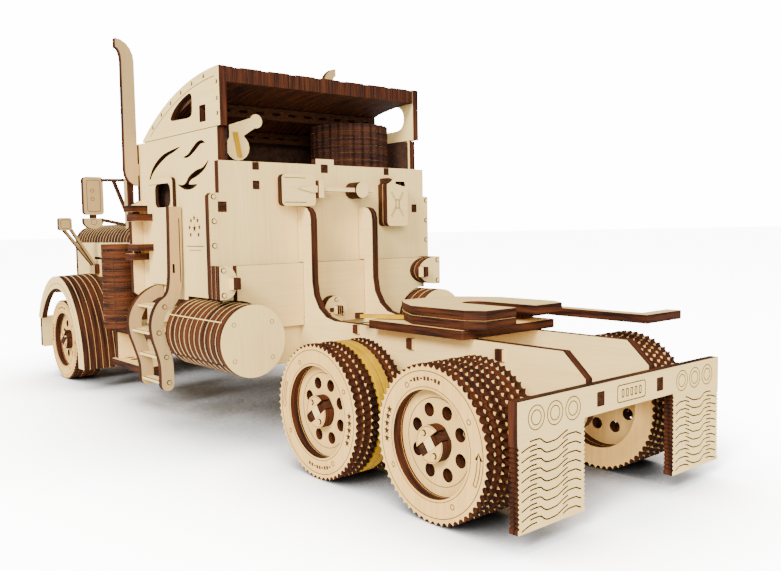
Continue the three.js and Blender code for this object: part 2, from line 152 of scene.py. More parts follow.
def contact_shade(tree, dark, light):
    """A number that drops where something stands close above the surface."""
    near = tree.nodes.new("ShaderNodeAmbientOcclusion")
    near.inputs["Distance"].default_value = SHADE_REACH
    bend = tree.nodes.new("ShaderNodeMath")
    bend.operation = "POWER"
    bend.inputs[1].default_value = SHADE_POWER
    span = tree.nodes.new("ShaderNodeMapRange")
    span.inputs["To Min"].default_value, span.inputs["To Max"].default_value = dark, light
    tree.links.new(near.outputs["AO"], bend.inputs[0])
    tree.links.new(bend.outputs["Value"], span.inputs["Value"])
    return span.outputs["Result"]


print("floor and light helpers are ready")

# %% [markdown]
# ## Floor and light
#
# A model is shown on a white sweep. The floor is wide enough to pass out of sight, and its
# white is stronger to the eye than to the light that bounces, so no horizon shows. A soft
# sun stands high on the camera's left, a broad lamp fills from behind the camera, and a
# white sky lightens the shadows.

# %% Floor, lamps and sky
FLOOR_BOUNCE, FLOOR_DARK, FLOOR_GAIN = 0.85, 0.02, 6.5
SKY_LIGHT, SKY_SEEN = 0.5, 15.0
FLOOR_HALF = 40   # metres from its middle to its edge
white_paper = bpy.data.materials.new("white paper")
white_paper.use_nodes = True
paper_nodes = white_paper.node_tree
paper = paper_nodes.nodes.new("ShaderNodeBsdfDiffuse")
paper_nodes.nodes.remove(paper_nodes.nodes["Principled BSDF"])
white = seen_directly(paper_nodes, FLOOR_BOUNCE, FLOOR_GAIN)
paper_nodes.links.new(contact_shade(paper_nodes, FLOOR_DARK, FLOOR_GAIN), white.inputs["To Max"])
paper_nodes.links.new(white.outputs["Result"], paper.inputs["Color"])
paper_nodes.links.new(paper.outputs["BSDF"], paper_nodes.nodes["Material Output"].inputs["Surface"])

sweep = bmesh.new()
bmesh.ops.create_grid(sweep, x_segments=1, y_segments=1, size=FLOOR_HALF)
sweep_mesh = bpy.data.meshes.new("floor")
sweep.to_mesh(sweep_mesh)
sweep.free()
sweep_mesh.materials.append(white_paper)
floor = bpy.data.objects.new("floor", sweep_mesh)
bpy.context.scene.collection.objects.link(floor)

lamp("soft sun", "SUN", (1.5, 0.6, 1.1), 20, 6.6)
lamp("fill lamp", "AREA", (0.7, 1.35, 0.6), 0.9, 31)
sky = bpy.data.worlds.new("white sky")
sky.use_nodes = True
background = sky.node_tree.nodes["Background"]
background.inputs["Color"].default_value = (1, 1, 1, 1)
glow = seen_directly(sky.node_tree, SKY_LIGHT, SKY_SEEN)
sky.node_tree.links.new(glow.outputs["Result"], background.inputs["Strength"])
bpy.context.scene.world = sky
print("stage is set")

# %% [markdown]
# ## Plywood
#
# Birch plywood has a pale face with long fibres, and a cut edge that the laser has burnt
# brown, where the glued layers show as stripes. All finishes start the same way: a noise on
# the object's own coordinates, stretched or squeezed by a Mapping node, and a colour ramp
# over it. Plywood then mixes several of them.

# %% Colours and the nodes every finish uses
PALE = ((0.85, 0.61, 0.235), (0.72, 0.48, 0.165))
# TAN is painted shade: a darker tan for the backward-facing faces of the exhaust, steps and mirrors.
TAN = ((0.46, 0.30, 0.115), (0.38, 0.235, 0.085))
TYRE_FACE = ((0.80, 0.50, 0.155), (0.62, 0.33, 0.08))
EDGE = ((0.008, 0.0016, 0.0005), (0.073, 0.0172, 0.0034))
FIBRE_ALONG, FIBRE_ACROSS = 55.0, 1300.0   # waves per metre
finishes = {}


def stretched_noise(tree, scales, detail, roughness):
    """Noise on Object coordinates, stretched by a Mapping node."""
    coord = tree.nodes.new("ShaderNodeTexCoord")
    mapping = tree.nodes.new("ShaderNodeMapping")
    mapping.inputs["Scale"].default_value = scales
    noise = tree.nodes.new("ShaderNodeTexNoise")
    noise.inputs["Scale"].default_value = 1.0
    noise.inputs["Detail"].default_value = detail
    noise.inputs["Roughness"].default_value = roughness
    tree.links.new(coord.outputs["Object"], mapping.inputs["Vector"])
    tree.links.new(mapping.outputs["Vector"], noise.inputs["Vector"])
    return noise.outputs["Fac"]


def ramp(tree, factor, low, high, start=0.3, end=0.7):
    colours = tree.nodes.new("ShaderNodeValToRGB")
    colours.color_ramp.elements[0].position = start
    colours.color_ramp.elements[1].position = end
    colours.color_ramp.elements[0].color = (*low, 1)
    colours.color_ramp.elements[1].color = (*high, 1)
    tree.links.new(factor, colours.inputs["Fac"])
    return colours.outputs["Color"]


def mixed(tree, factor, first, second, blend="MIX"):
    mix = tree.nodes.new("ShaderNodeMix")
    mix.data_type, mix.blend_type = "RGBA", blend
    if isinstance(factor, float):
        mix.inputs["Factor"].default_value = factor
    else:
        tree.links.new(factor, mix.inputs["Factor"])
    tree.links.new(first, mix.inputs["A"])
    tree.links.new(second, mix.inputs["B"])
    return mix.outputs["Result"]


print("colour sets:", len((PALE, TAN, TYRE_FACE, EDGE)))

# %% [markdown]
# ## Veneer on the faces, burnt wood on the edges
#
# Face and edge belong to one piece, so one material holds both: where the surface looks along
# the sheet's own direction it is veneer, and everywhere else it is burnt edge. A noise that
# is stretched along the grain makes the fibres, and one squeezed along the sheet's direction
# makes the layers of the edge. A weak bump lets the light catch the fibres.

# %% Plywood finish
def facing(tree, axis):
    """1 where the surface looks along the axis, 0 elsewhere."""
    coord = tree.nodes.new("ShaderNodeTexCoord")
    apart = tree.nodes.new("ShaderNodeSeparateXYZ")
    size = tree.nodes.new("ShaderNodeMath")
    size.operation = "ABSOLUTE"
    test = tree.nodes.new("ShaderNodeMath")
    test.operation = "GREATER_THAN"
    test.inputs[1].default_value = 0.8
    tree.links.new(coord.outputs["Normal"], apart.inputs[0])
    tree.links.new(apart.outputs[axis], size.inputs[0])
    tree.links.new(size.outputs[0], test.inputs[0])
    return test.outputs[0]


def plywood(sheet, grain, face=PALE, edge=EDGE, name="plywood"):
    """Plywood whose sheet faces the axis `sheet` and whose fibres run along `grain`."""
    key = f"{name} {sheet}{grain}"
    if key in finishes:
        return finishes[key]
    finish = finishes[key] = bpy.data.materials.new(key)
    finish.use_nodes = True
    tree = finish.node_tree
    shader = tree.nodes["Principled BSDF"]
    along = [FIBRE_ALONG if a == grain else FIBRE_ACROSS for a in "XYZ"]
    layers = [820.0 if a == sheet else 45.0 for a in "XYZ"]
    fibres = stretched_noise(tree, along, 3.0, 0.65)
    clouds = stretched_noise(tree, [9 if a == grain else 55 for a in "XYZ"], 2.0, 0.5)
    veneer = mixed(tree, 0.45, ramp(tree, fibres, face[1], face[0], 0.25, 0.62),
                   ramp(tree, clouds, face[1], face[0], 0.3, 0.66))
    burnt = ramp(tree, stretched_noise(tree, layers, 2.5, 0.7), edge[0], edge[1], 0.36, 0.66)
    is_face = facing(tree, sheet)
    tree.links.new(mixed(tree, is_face, burnt, veneer), shader.inputs["Base Color"])
    tree.links.new(ramp(tree, fibres, (0.85,) * 3, (0.7,) * 3), shader.inputs["Roughness"])
    shader.inputs["Specular IOR Level"].default_value = 0.15
    bump = tree.nodes.new("ShaderNodeBump")
    bump.inputs["Strength"].default_value = 0.25
    bump.inputs["Distance"].default_value = 0.00012
    tree.links.new(fibres, bump.inputs["Height"])
    tree.links.new(bump.outputs["Normal"], shader.inputs["Normal"])
    return finish


print("fibres per metre:", FIBRE_ALONG, "along the grain,", FIBRE_ACROSS, "across it")

# %% [markdown]
# ## Scorched lines and rubber
#
# The bands that grip the tyres are flat yellow rubber.

# %% Scorch and rubber finishes
def plain_finish(name, low, high, scales, roughness):
    """A finish of two close tones with a soft, uneven sheen."""
    finish = bpy.data.materials.new(name)
    finish.use_nodes = True
    tree = finish.node_tree
    shader = tree.nodes["Principled BSDF"]
    cloud = stretched_noise(tree, scales, 4.0, 0.6)
    tree.links.new(ramp(tree, cloud, low, high), shader.inputs["Base Color"])
    tree.links.new(ramp(tree, cloud, (roughness + 0.1,) * 3, (roughness - 0.1,) * 3),
                   shader.inputs["Roughness"])
    shader.inputs["Specular IOR Level"].default_value = 0.1
    bump = tree.nodes.new("ShaderNodeBump")
    bump.inputs["Strength"].default_value = 0.2
    bump.inputs["Distance"].default_value = 0.0001
    tree.links.new(cloud, bump.inputs["Height"])
    tree.links.new(bump.outputs["Normal"], shader.inputs["Normal"])
    return finish


# brown is the burnt colour of cut ends and tongues, and on the roof's beams it is painted shade.
brown = plain_finish("brown edge and beam shade", (0.014, 0.004, 0.0015), (0.055, 0.018, 0.005), (500, 500, 1500), 0.8)
scorch = plain_finish("scorched line", (0.025, 0.009, 0.004), (0.07, 0.029, 0.012), (900,) * 3, 0.8)
# hollow is painted shade: a dark sheet where only shade falls, inside the cab and sleeper and in the gaps
# of the hood and hubs.
hollow = plain_finish("painted shade", (0.018, 0.008, 0.005), (0.05, 0.022, 0.012), (600,) * 3, 0.8)
rubber = plain_finish("yellow rubber", (0.36, 0.185, 0.001), (0.49, 0.27, 0.002), (150, 150, 150), 0.5)
print("finishes:", scorch.name, hollow.name, rubber.name)

# %% [markdown]
# ## From a drawing to a sheet
#
# A laser-cut part is a flat outline with holes, given a thickness. In Blender that is three
# steps: lay the outline as a loop of edges, fill it, and extrude the filled faces.
# The same helper makes discs, rings, ribs and teeth.

# %% Sheet helpers
def arc(u, v, ru, rv, start, end, steps):
    """Points along an arc of an ellipse, angles in degrees from +u toward +v."""
    turns = [math.radians(start + (end - start) * i / steps) for i in range(steps + 1)]
    return [(u + ru * math.cos(t), v + rv * math.sin(t)) for t in turns]


def circle(u, v, radius, steps=32):
    return arc(u, v, radius, radius, 0, 360, steps)[:-1]


def rounded(u0, u1, v0, v1, r, steps=4):
    """A rectangle with rounded corners."""
    return (arc(u1 - r, v1 - r, r, r, 0, 90, steps) + arc(u0 + r, v1 - r, r, r, 90, 180, steps)
            + arc(u0 + r, v0 + r, r, r, 180, 270, steps) + arc(u1 - r, v0 + r, r, r, 270, 360, steps))


def tidy(loop):
    """The loop without repeated corners."""
    apart = lambda p, q: math.dist(p, q) > 0.01
    return [p for p, q in zip(loop, loop[1:] + loop[:1]) if apart(p, q)]


def sheet(bm, axis, loops, low, high, finish=0):
    """A flat sheet from an outline and its holes, extruded from one level to the other."""
    edges, shell = [], []
    for loop in loops:
        ring = [bm.verts.new(place(axis, u, v, low)) for u, v in tidy(loop)]
        edges += [bm.edges.new(pair) for pair in zip(ring, ring[1:] + ring[:1])]
        shell += ring
    filled = bmesh.ops.triangle_fill(bm, use_beauty=True, use_dissolve=False, edges=edges,
                                     normal=AXES[axis])
    faces = [g for g in filled["geom"] if isinstance(g, bmesh.types.BMFace)]
    grown = bmesh.ops.extrude_face_region(bm, geom=faces)
    top = [g for g in grown["geom"] if isinstance(g, bmesh.types.BMVert)]
    bmesh.ops.translate(bm, verts=top, vec=place(axis, 0, 0, high) - place(axis, 0, 0, low))
    shell += top
    for face in {f for v in shell for f in v.link_faces}:
        face.material_index = finish


def block(bm, x0, x1, d0, d1, z0, z1, finish=0):
    """A straight bar between two places each way."""
    middle = Vector(((x0 + x1) / 2, ahead((d0 + d1) / 2), (z0 + z1) / 2))
    size = Matrix.Diagonal((abs(x1 - x0), abs(d1 - d0), abs(z1 - z0), 1))
    made = bmesh.ops.create_cube(bm, size=1, matrix=Matrix.Translation(middle) @ size)
    for face in {f for v in made["verts"] for f in v.link_faces}:
        face.material_index = finish


print("a circle of radius 1 drawn with", len(circle(0, 0, 1)), "corners")

# %% [markdown]
# ## From a drawing to a finished piece
#
# A drawing in millimetres becomes a piece in three steps: its faces are turned outward, it
# is scaled to metres, and it is given to the body of the frame that it moves with. Nearly
# everything on the truck stands on both sides, so the right one is the left one turned over.

# %% Finished pieces
def finish_piece(bm, name, body, materials, stands_for=(), soften=0.0):
    """Puts the drawing in metres, points its faces outward and gives it to its body."""
    bmesh.ops.recalc_face_normals(bm, faces=bm.faces)
    bmesh.ops.scale(bm, vec=(0.001,) * 3, verts=bm.verts)
    mesh = bpy.data.meshes.new(name)
    bm.to_mesh(mesh)
    bm.free()
    piece = bpy.data.objects.new(name, mesh)
    bpy.context.scene.collection.objects.link(piece)
    for material in materials:
        mesh.materials.append(material)
    if soften:
        edge = piece.modifiers.new("soft edges", "BEVEL")
        edge.width, edge.segments, edge.limit_method = soften / 1000, 2, "ANGLE"
        edge.angle_limit = math.radians(50)
    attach(piece, body)
    if stands_for:
        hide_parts(*stands_for)
    return piece


def on_both_sides(draw, name, bodies, materials, stands_for="", soften=0.0):
    """Draws a part on the left, and again turned over for the right."""
    for side, sign in (("left", 1), ("right", -1)):
        bm = bmesh.new()
        draw(bm)
        if sign < 0:
            bmesh.ops.scale(bm, vec=(-1, 1, 1), verts=bm.verts)
        body = bodies if isinstance(bodies, str) else bodies[side]
        gone = [stands_for + side] if stands_for else []
        finish_piece(bm, f"{name}_{side}", body, materials, gone, soften)


# %% [markdown]
# ## Pins, slots and drawn lines
#
# A drawn line is a very thin strip that lies on the sheet.

# %% Small marks
MARK = 0.05        # how far a drawn line stands off its sheet, mm
PIN_STANDS = 0.35  # how far a pin's end stands out
PIN_RIM = 0.32     # width of the dark rim round it


def pin(bm, axis, u, v, level, outward, radius=0.8, rim=2):
    """The end of a round pin, a little proud, in a dark rim."""
    sheet(bm, axis, [circle(u, v, radius + PIN_RIM, 14), circle(u, v, radius, 14)], level,
          level + outward * MARK, rim)
    sheet(bm, axis, [circle(u, v, radius, 14)], level, level + outward * PIN_STANDS, 0)


def drawn_ring(bm, axis, u, v, radius, level, outward, width=0.25, steps=48, finish=1):
    sheet(bm, axis, [circle(u, v, radius + width / 2, steps), circle(u, v, radius - width / 2, steps)],
          level, level + outward * MARK, finish)


def beside(path, offset):
    """The path moved sideways."""
    moved = []
    for i, p in enumerate(path):
        a, b = path[max(i - 1, 0)], path[min(i + 1, len(path) - 1)]
        du, dv = b[0] - a[0], b[1] - a[1]
        size = math.hypot(du, dv) or 1
        moved.append((p[0] - dv / size * offset, p[1] + du / size * offset))
    return moved


def band(path, width):
    """The outline of a strip of that width along a path."""
    return beside(path, width / 2) + beside(path, -width / 2)[::-1]


def drawn_line(bm, axis, path, level, outward, width=0.22, finish=1):
    sheet(bm, axis, [band(path, width)], level, level + outward * MARK, finish)


def star(u, v, radius):
    points = []
    for i in range(10):
        turn, reach = math.radians(90 + 36 * i), radius * (1 if i % 2 == 0 else 0.42)
        points.append((u + reach * math.cos(turn), v + reach * math.sin(turn)))
    return points


print("a star has", len(star(0, 0, 1)), "corners")

# %% [markdown]
# ## A finish for the frame's own sheets
#
# Fifteen kinds of solids already have the right shape, so they keep it and get plywood that
# faces the way their sheet does. The pairs are: the axis the sheet faces, and its grain. All
# the others are built anew below, ply by ply, and get a plain sheet's finish for now.

# %% Plywood on the frame's own solids
SHEETS = {
    "chassis_rail": "XY", "cross_member": "YX", "coupling_base": "ZX", "coupling_plate": "ZX",
    "release_lever": "ZX", "front_beam": "YX", "front_bumper": "YX", "grille": "YZ",
    "cab_front_wall": "YX", "cab_floor": "ZX", "lower_back_panel": "YX", "sleeper_shelf": "ZX",
    "exhaust": "YZ", "sleeper_lever": "YX", "steering_knuckle": "ZX",
}
bare = []
for node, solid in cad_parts.items():
    family = next((kind for kind in SHEETS if node.startswith(kind)), None)
    if family is None:
        bare.append(node)
    solid.data.materials.clear()
    # The exhaust takes the darker tan, painted shade on its backward-facing face.
    solid.data.materials.append(plywood("Y", "Z", TAN, name="shaded plywood") if family == "exhaust"
                                else plywood(*SHEETS.get(family, "ZX")))
print("solids to be replaced:", len(bare), bare)

# %% [markdown]
# ## Tyres from plies
#
# Each tyre is a pile of rings cut with sixty small teeth. Every second ring is turned by half
# a tooth, so the pale faces of the teeth peep out between the burnt ones like rows of dots.
# A ring's outline is one circle whose corners are pushed in between the teeth.

# %% Tyre rings
TEETH, TOOTH_DEPTH = 60, 1.05
TYRE_OPENING = 15.0


def toothed(u, v, radius, turn, steps=5):
    """A circle with rounded notches. `turn` shifts it by that part of a tooth."""
    points = []
    for i in range(TEETH * steps):
        phase = i / steps + turn
        reach = radius - TOOTH_DEPTH * abs(math.sin(math.pi * phase)) ** 0.75
        angle = 2 * math.pi * i / (TEETH * steps)
        points.append((u + reach * math.cos(angle), v + reach * math.sin(angle)))
    return points


def tyre(bm, d, levels):
    """Rings between pairs of X levels, the outermost first."""
    for i, (x0, x1) in enumerate(levels):
        sheet(bm, "X", [toothed(d, WHEEL_RADIUS, WHEEL_RADIUS, 0.5 * (i % 2)),
                        circle(d, WHEEL_RADIUS, TYRE_OPENING, 48)], x0, x1)


def on_wheel(d, radius, degrees):
    """A spot on a wheel: 0 degrees points ahead and 90 degrees points up."""
    turn = math.radians(degrees)
    return d + radius * math.cos(turn), WHEEL_RADIUS + radius * math.sin(turn)


def arrow(bm, d, face, start, end):
    """A drawn arrow that bends along the tyre from one angle to the other."""
    steps = [start + (end - start) * i / 10 for i in range(9)]
    inner, outer = ([on_wheel(d, 18.0 + 2 * k * 0.55, a) for a in steps] for k in (0, 1))
    tip = on_wheel(d, 18.55, end)
    barbs = [on_wheel(d, 17.3, steps[-1]), on_wheel(d, 19.8, steps[-1])]
    outline = [inner[0], *inner[1:], barbs[0], tip, barbs[1], *outer[::-1], inner[0]]
    drawn_line(bm, "X", outline, face, 1, 0.26)


def tyre_marks(bm, d, face, star_side):
    """The drawn rings, stars, arrow and pin ends on the outer face of a tyre."""
    for radius, width in ((20.1, 0.2), (15.7, 0.16)):
        drawn_ring(bm, "X", d, WHEEL_RADIUS, radius, face, 1, width, 64)
    for i in range(5):
        spot = on_wheel(d, 17.9, star_side - 5 + 7 * i)
        sheet(bm, "X", [star(*spot, 1.3)], face, face + MARK, 1)
    arrow(bm, d, face, star_side + 204, star_side + 176)
    for i in range(4):
        drawn_ring(bm, "X", *on_wheel(d, 17.5, 60 + 90 * i), 0.7, face, 1, 0.22, 12)
    for i in range(9):
        dash = [on_wheel(d, 18.0, star_side + 66 + 4.5 * i + k) for k in (0, 1.4, 2.8)]
        drawn_line(bm, "X", dash, face, 1, 1.1 if i % 3 else 0.45)


print("teeth:", TEETH, "pitch", round(2 * math.pi * WHEEL_RADIUS / TEETH, 2), "mm")

# %% [markdown]
# ## Rim disc and hub
#
# A disc with eight round holes sits inside the tyre. In its middle stand two half discs
# that clamp the square axle end and two brown tongues in the gap between them. Their faces
# are level with the tyre's.

# %% Rims, hubs and whole wheels
HOLE_CIRCLE, HOLE_RADIUS = 9.2, 2.0
HUB_RADIUS, HUB_GAP, HUB_TURN = 5.25, 3.4, -36


def rim_disc(bm, d, x0, x1):
    holes = [circle(*on_wheel(d, HOLE_CIRCLE, 22.5 + 45 * i), HOLE_RADIUS, 18) for i in range(8)]
    sheet(bm, "X", [circle(d, WHEEL_RADIUS, TYRE_OPENING - 0.05, 48), *holes], x0, x1)


def half_disc(d, turn, radius=HUB_RADIUS, gap=HUB_GAP):
    """The outline of one half of a split disc, as (distance ahead, height)."""
    cut = math.degrees(math.asin(gap / 2 / radius))
    return arc(d, WHEEL_RADIUS, radius, radius, turn + cut, turn + 180 - cut, 14)


def slanted(d, near, far, width, turn=HUB_TURN):
    """A rectangle in the hub's gap, from one distance along the gap to another."""
    run = math.radians(turn)
    corners = ((far, width / 2), (near, width / 2), (near, -width / 2), (far, -width / 2))
    return [(d + a * math.cos(run) - b * math.sin(run),
             WHEEL_RADIUS + a * math.sin(run) + b * math.cos(run)) for a, b in corners]


def hub(bm, d, disc, face, gap):
    """Two half discs with their pins, and two brown tongues in the gap between them, whose floor is a
    dark sheet of painted shade.
    """
    for side in (HUB_TURN, HUB_TURN + 180):
        sheet(bm, "X", [half_disc(d, side, HUB_RADIUS, gap)], disc, face)
        drawn_line(bm, "X", half_disc(d, side, HUB_RADIUS - 0.35, gap + 0.5), face, 1, 0.14)
        pin(bm, "X", *on_wheel(d, 3.5, side + 90), face, 1, 0.65, 1)
    sheet(bm, "X", [slanted(d, -4.9, 4.9, gap - 0.1)], disc, disc + 0.4, 2)
    sheet(bm, "X", [slanted(d, 2.3, 5.1, gap - 0.5)], disc + 0.4, face - 0.5, 3)
    sheet(bm, "X", [slanted(d, -4.6, -2.3, gap - 0.9)], disc + 0.4, face - 1.0, 3)


def wheel(d, levels, disc, back_disc, star_side, gap=HUB_GAP):
    """Returns the drawing of a left wheel: its tyre rings, discs and hub."""
    def draw(bm):
        tyre(bm, d, levels)
        tyre_marks(bm, d, levels[0][1], star_side)
        rim_disc(bm, d, disc - PLY, disc)
        drawn_ring(bm, "X", d, WHEEL_RADIUS, 12.3, disc, 1, 0.18)
        if back_disc:
            rim_disc(bm, d, back_disc, back_disc + PLY)
            sheet(bm, "X", [circle(d, WHEEL_RADIUS, 7.5, 32)], back_disc + PLY, disc - PLY)
        hub(bm, d, disc, levels[0][1], gap)
    return draw


def plies(top, count, pitch=PLY, seam=0.14):
    """Levels of a pile of plies, counted from the outside inward."""
    return [(top - (i + 1) * pitch + seam, top - i * pitch) for i in range(count)]


print("hub gap", HUB_GAP, "mm")

# %% [markdown]
# ## Six wheels and two axles
#
# The rear tyres have seven plies side by side, the forward ones three and two with a groove
# between them, and the front ones five. A square bar joins the wheels of each driving axle.

# %% Wheels and axles
WHEEL_FACE, DISC_FACE = 48.0, 44.5
wheel_look = [plywood("X", "Z", TYRE_FACE, name="tyre plywood"), scorch, hollow, brown]
rear_plies = plies(WHEEL_FACE, 7)
forward_plies = plies(WHEEL_FACE, 3) + plies(33.0, 2)
front_plies = plies(WHEEL_FACE, 5)
on_both_sides(wheel(AXLES["rear"], rear_plies, DISC_FACE, 33.0, 0), "rear_tyre", "rear_axle_set",
              wheel_look, stands_for="rear_wheel_")
on_both_sides(wheel(AXLES["forward"], forward_plies, DISC_FACE, 33.0, 180), "forward_tyre",
              "forward_axle_set", wheel_look, stands_for="forward_wheel_")
on_both_sides(wheel(AXLES["front"], front_plies, DISC_FACE, None, 0, 4.3), "front_tyre",
              {"left": "front_wheel_left_set", "right": "front_wheel_right_set"}, wheel_look,
              stands_for="front_wheel_")
for axle in ("forward", "rear"):
    bm = bmesh.new()
    sheet(bm, "X", [slanted(AXLES[axle], -1.7, 1.7, 3.3)], -WHEEL_FACE, WHEEL_FACE)
    finish_piece(bm, f"{axle}_axle_bar", f"{axle}_axle_set", [plywood("X", "Y")],
                 [f"{axle}_axle"])
print("plies per tyre:", len(rear_plies), len(forward_plies), len(front_plies))

# %% [markdown]
# ## Rubber bands round the forward tyres
#
# Two flat bands lie side by side in the groove of each forward tyre, on a smooth core ring.
# A band is a ring like any other, only its edges are rounded by a bevel.

# %% Grip bands
CORE_RADIUS, BAND_INSIDE, BAND_OUTSIDE = 20.3, 20.5, 21.9
BANDS = ((33.3, 35.85), (36.1, 38.7))   # from where to where each band lies, in X


def grip_bands(bm):
    d = AXLES["forward"]
    sheet(bm, "X", [circle(d, WHEEL_RADIUS, CORE_RADIUS, 60),
                    circle(d, WHEEL_RADIUS, TYRE_OPENING, 48)], 33.15, 38.85, 1)
    for x0, x1 in BANDS:
        sheet(bm, "X", [circle(d, WHEEL_RADIUS, BAND_OUTSIDE, 72),
                        circle(d, WHEEL_RADIUS, BAND_INSIDE, 72)], x0, x1)


on_both_sides(grip_bands, "grip_band", "forward_axle_set", [rubber, plywood("X", "Z")],
              "grip_ring_", soften=0.3)
print("bands:", 2 * len(BANDS))

# %% [markdown]
# ## Wavy slits
#
# The tail plate ends in two mud flaps. The laser has cut rows of short wavy slits through
# them, so the stiff sheet bends like cloth. Each slit is a real hole: a thin strip along a
# wave. The rows are staggered, and the flaps' side edges are cut into small steps.

# %% Slits of the mud flaps
FLAP_TOP, FLAP_LOW, FLAP_IN, FLAP_OUT = 29.4, 5.6, 21.4, 48.0
ROW_PITCH, KERF = 2.45, 0.4


def wave_height(t):
    """Height of the slit at the part t of the flap's width: two humps beside a valley."""
    knots = ((0.0, -0.7), (0.14, 0.35), (0.2, 0.6), (0.32, 0.6), (0.38, -0.5), (0.42, -0.85),
             (0.56, -0.75), (0.68, 0.35), (0.74, 0.75), (0.86, 0.7), (0.93, -0.1), (1.0, -0.3))
    for (t0, h0), (t1, h1) in zip(knots, knots[1:]):
        if t <= t1:
            return h0 + (h1 - h0) * (t - t0) / (t1 - t0)
    return knots[-1][1]


def slit(start, end, height, slope):
    """The outline of one wavy slit across part of a left flap."""
    steps = max(6, int(26 * (end - start)))
    path = []
    for i in range(steps + 1):
        t = start + (end - start) * i / steps
        x = FLAP_OUT - (FLAP_OUT - FLAP_IN) * t
        path.append((x, height + 1.15 * wave_height(t) + slope * t))
    return band(path, KERF)


def flap_slits():
    rows = int((FLAP_TOP - FLAP_LOW - 2.6) / ROW_PITCH)
    slits = []
    for row in range(rows + 1):
        height = FLAP_LOW + 2.3 + row * ROW_PITCH
        slits.append(slit(0.17, 0.73, height, 0.4))
        slits.append(slit(0.05, 0.27, height - ROW_PITCH / 2, 0.0))
        slits.append(slit(0.65, 0.94, height - ROW_PITCH / 2, 0.4))
    return slits


print("slits in one mud flap:", len(flap_slits()))

# %% [markdown]
# ## Tail plate
#
# One sheet carries both flaps. Rings stand for its lamps, a frame with five bars for its
# number plate, and two tongues of the rails come through it.

# %% Tail plate
TAIL_TOP = 38.5
TAIL_FACE = 0.06   # the sheet lies this far in, so that its drawn marks end at the frame's box
LAMPS = {"x": 41.0, "pitch": 7.3, "z": 33.8}


def stepped_edge(x, out, low, high):
    """A side edge of a flap, cut into small steps, from low to high."""
    points, height = [(x, low)], low + 1.2
    while height < high - 1:
        points += [(x, height), (x - out * 0.65, height + 0.35), (x - out * 0.15, height + 0.9)]
        height += ROW_PITCH / 2
    return points + [(x, high)]


def tail_plate(bm):
    inner = stepped_edge(FLAP_IN, -1, FLAP_LOW, 30.5)
    outer = stepped_edge(FLAP_OUT, 1, FLAP_LOW, 28.5)
    half = inner[::-1] + outer + [(FLAP_OUT, TAIL_TOP)]
    outline = half + [(-x, z) for x, z in half[::-1]]
    slits = flap_slits()
    holes = slits + [[(-x, z) for x, z in s] for s in slits]
    tongues = [rounded(s * 14.4 - 1.7, s * 14.4 + 1.7, 32.4, 36.4, 0.2, 1) for s in (1, -1)]
    sheet(bm, "Y", [outline, *holes, *tongues], TAIL_FACE, PLY)
    for tongue in tongues:
        sheet(bm, "Y", [tongue], 0.3, PLY, 2)
    for side in (1, -1):
        for i in range(3):
            x = side * (LAMPS["x"] - LAMPS["pitch"] * i)
            drawn_ring(bm, "Y", x, LAMPS["z"], 3.05, TAIL_FACE, -1, 0.24, 40)
            drawn_ring(bm, "Y", x, LAMPS["z"], 1.85, TAIL_FACE, -1, 0.24, 32)


def number_plate(bm):
    """A drawn frame with rounded corners, and a row of plain bars in it."""
    frame_line = rounded(-6.9, 6.9, 31.9, 36.9, 0.9, 4)
    inner_line = rounded(-6.62, 6.62, 32.18, 36.62, 0.75, 4)
    sheet(bm, "Y", [frame_line, inner_line], TAIL_FACE, TAIL_FACE - MARK, 1)
    for i in range(5):
        x = 2.1 * (i - 2)
        sheet(bm, "Y", [rounded(x - 0.6, x + 0.6, 33.2, 35.6, 0.3, 2),
                        rounded(x - 0.3, x + 0.3, 33.5, 35.3, 0.2, 2)], TAIL_FACE, TAIL_FACE - MARK, 1)


tail = bmesh.new()
tail_plate(tail)
number_plate(tail)
finish_piece(tail, "tail_sheet", "chassis", [plywood("Y", "X"), scorch, brown], stands_for=["tail_plate"])
print("tail plate is", 2 * FLAP_OUT, "mm wide")

# %% [markdown]
# ## Fuel tanks
#
# A tank is a row of eleven discs with thin, slightly smaller ones between them. Four narrow
# strips run along it and tie the discs together. Every disc is a round sheet that faces
# along the truck.

# %% Fuel tanks
RED_EDGE = ((0.015, 0.0036, 0.001), (0.108, 0.027, 0.005))   # discs are burnt to a redder brown
TANK = {"x": 46.5, "z": 41.0, "radius": 13.3, "rear": 126.0, "front": 172.0, "discs": 11}
RAIL_SIDE = 17.0                   # the outer side of a chassis rail, where tongues begin
SPACER, SPACER_STEP = 0.95, 0.22   # width of a thin disc, and how much smaller it is


def fuel_tank(bm):
    x, z, radius = TANK["x"], TANK["z"], TANK["radius"]
    pitch = (TANK["front"] - TANK["rear"] - 0.2) / TANK["discs"]
    for i in range(TANK["discs"]):
        near = TANK["rear"] + pitch * i
        sheet(bm, "Y", [circle(x, z, radius, 48)], near, near + pitch - SPACER)
        sheet(bm, "Y", [circle(x, z, radius - SPACER_STEP, 36)], near + pitch - SPACER, near + pitch, 1)
    for turn in (34, 146, 218, 322):
        across, out = math.radians(turn + 90), math.radians(turn)
        ends = [(radius - 1.8, 0.2), (radius - 1.8, -0.2), (radius + 0.08, -0.2), (radius + 0.08, 0.2)]
        corners = [(x + a * math.cos(out) + b * math.cos(across),
                    z + a * math.sin(out) + b * math.sin(across)) for a, b in ends]
        sheet(bm, "Y", [corners], TANK["rear"] + 2.9, TANK["front"], 2)
    for turn in (40, 140, 220, 320):
        spot = math.radians(turn)
        drawn_ring(bm, "Y", x + 10.2 * math.cos(spot), z + 10.2 * math.sin(spot), 0.75,
                   TANK["rear"], -1, 0.16, 14, 3)
    for d in (150, 167):
        block(bm, RAIL_SIDE, x - radius + 1.5, d, d + PLY, 37, 45)


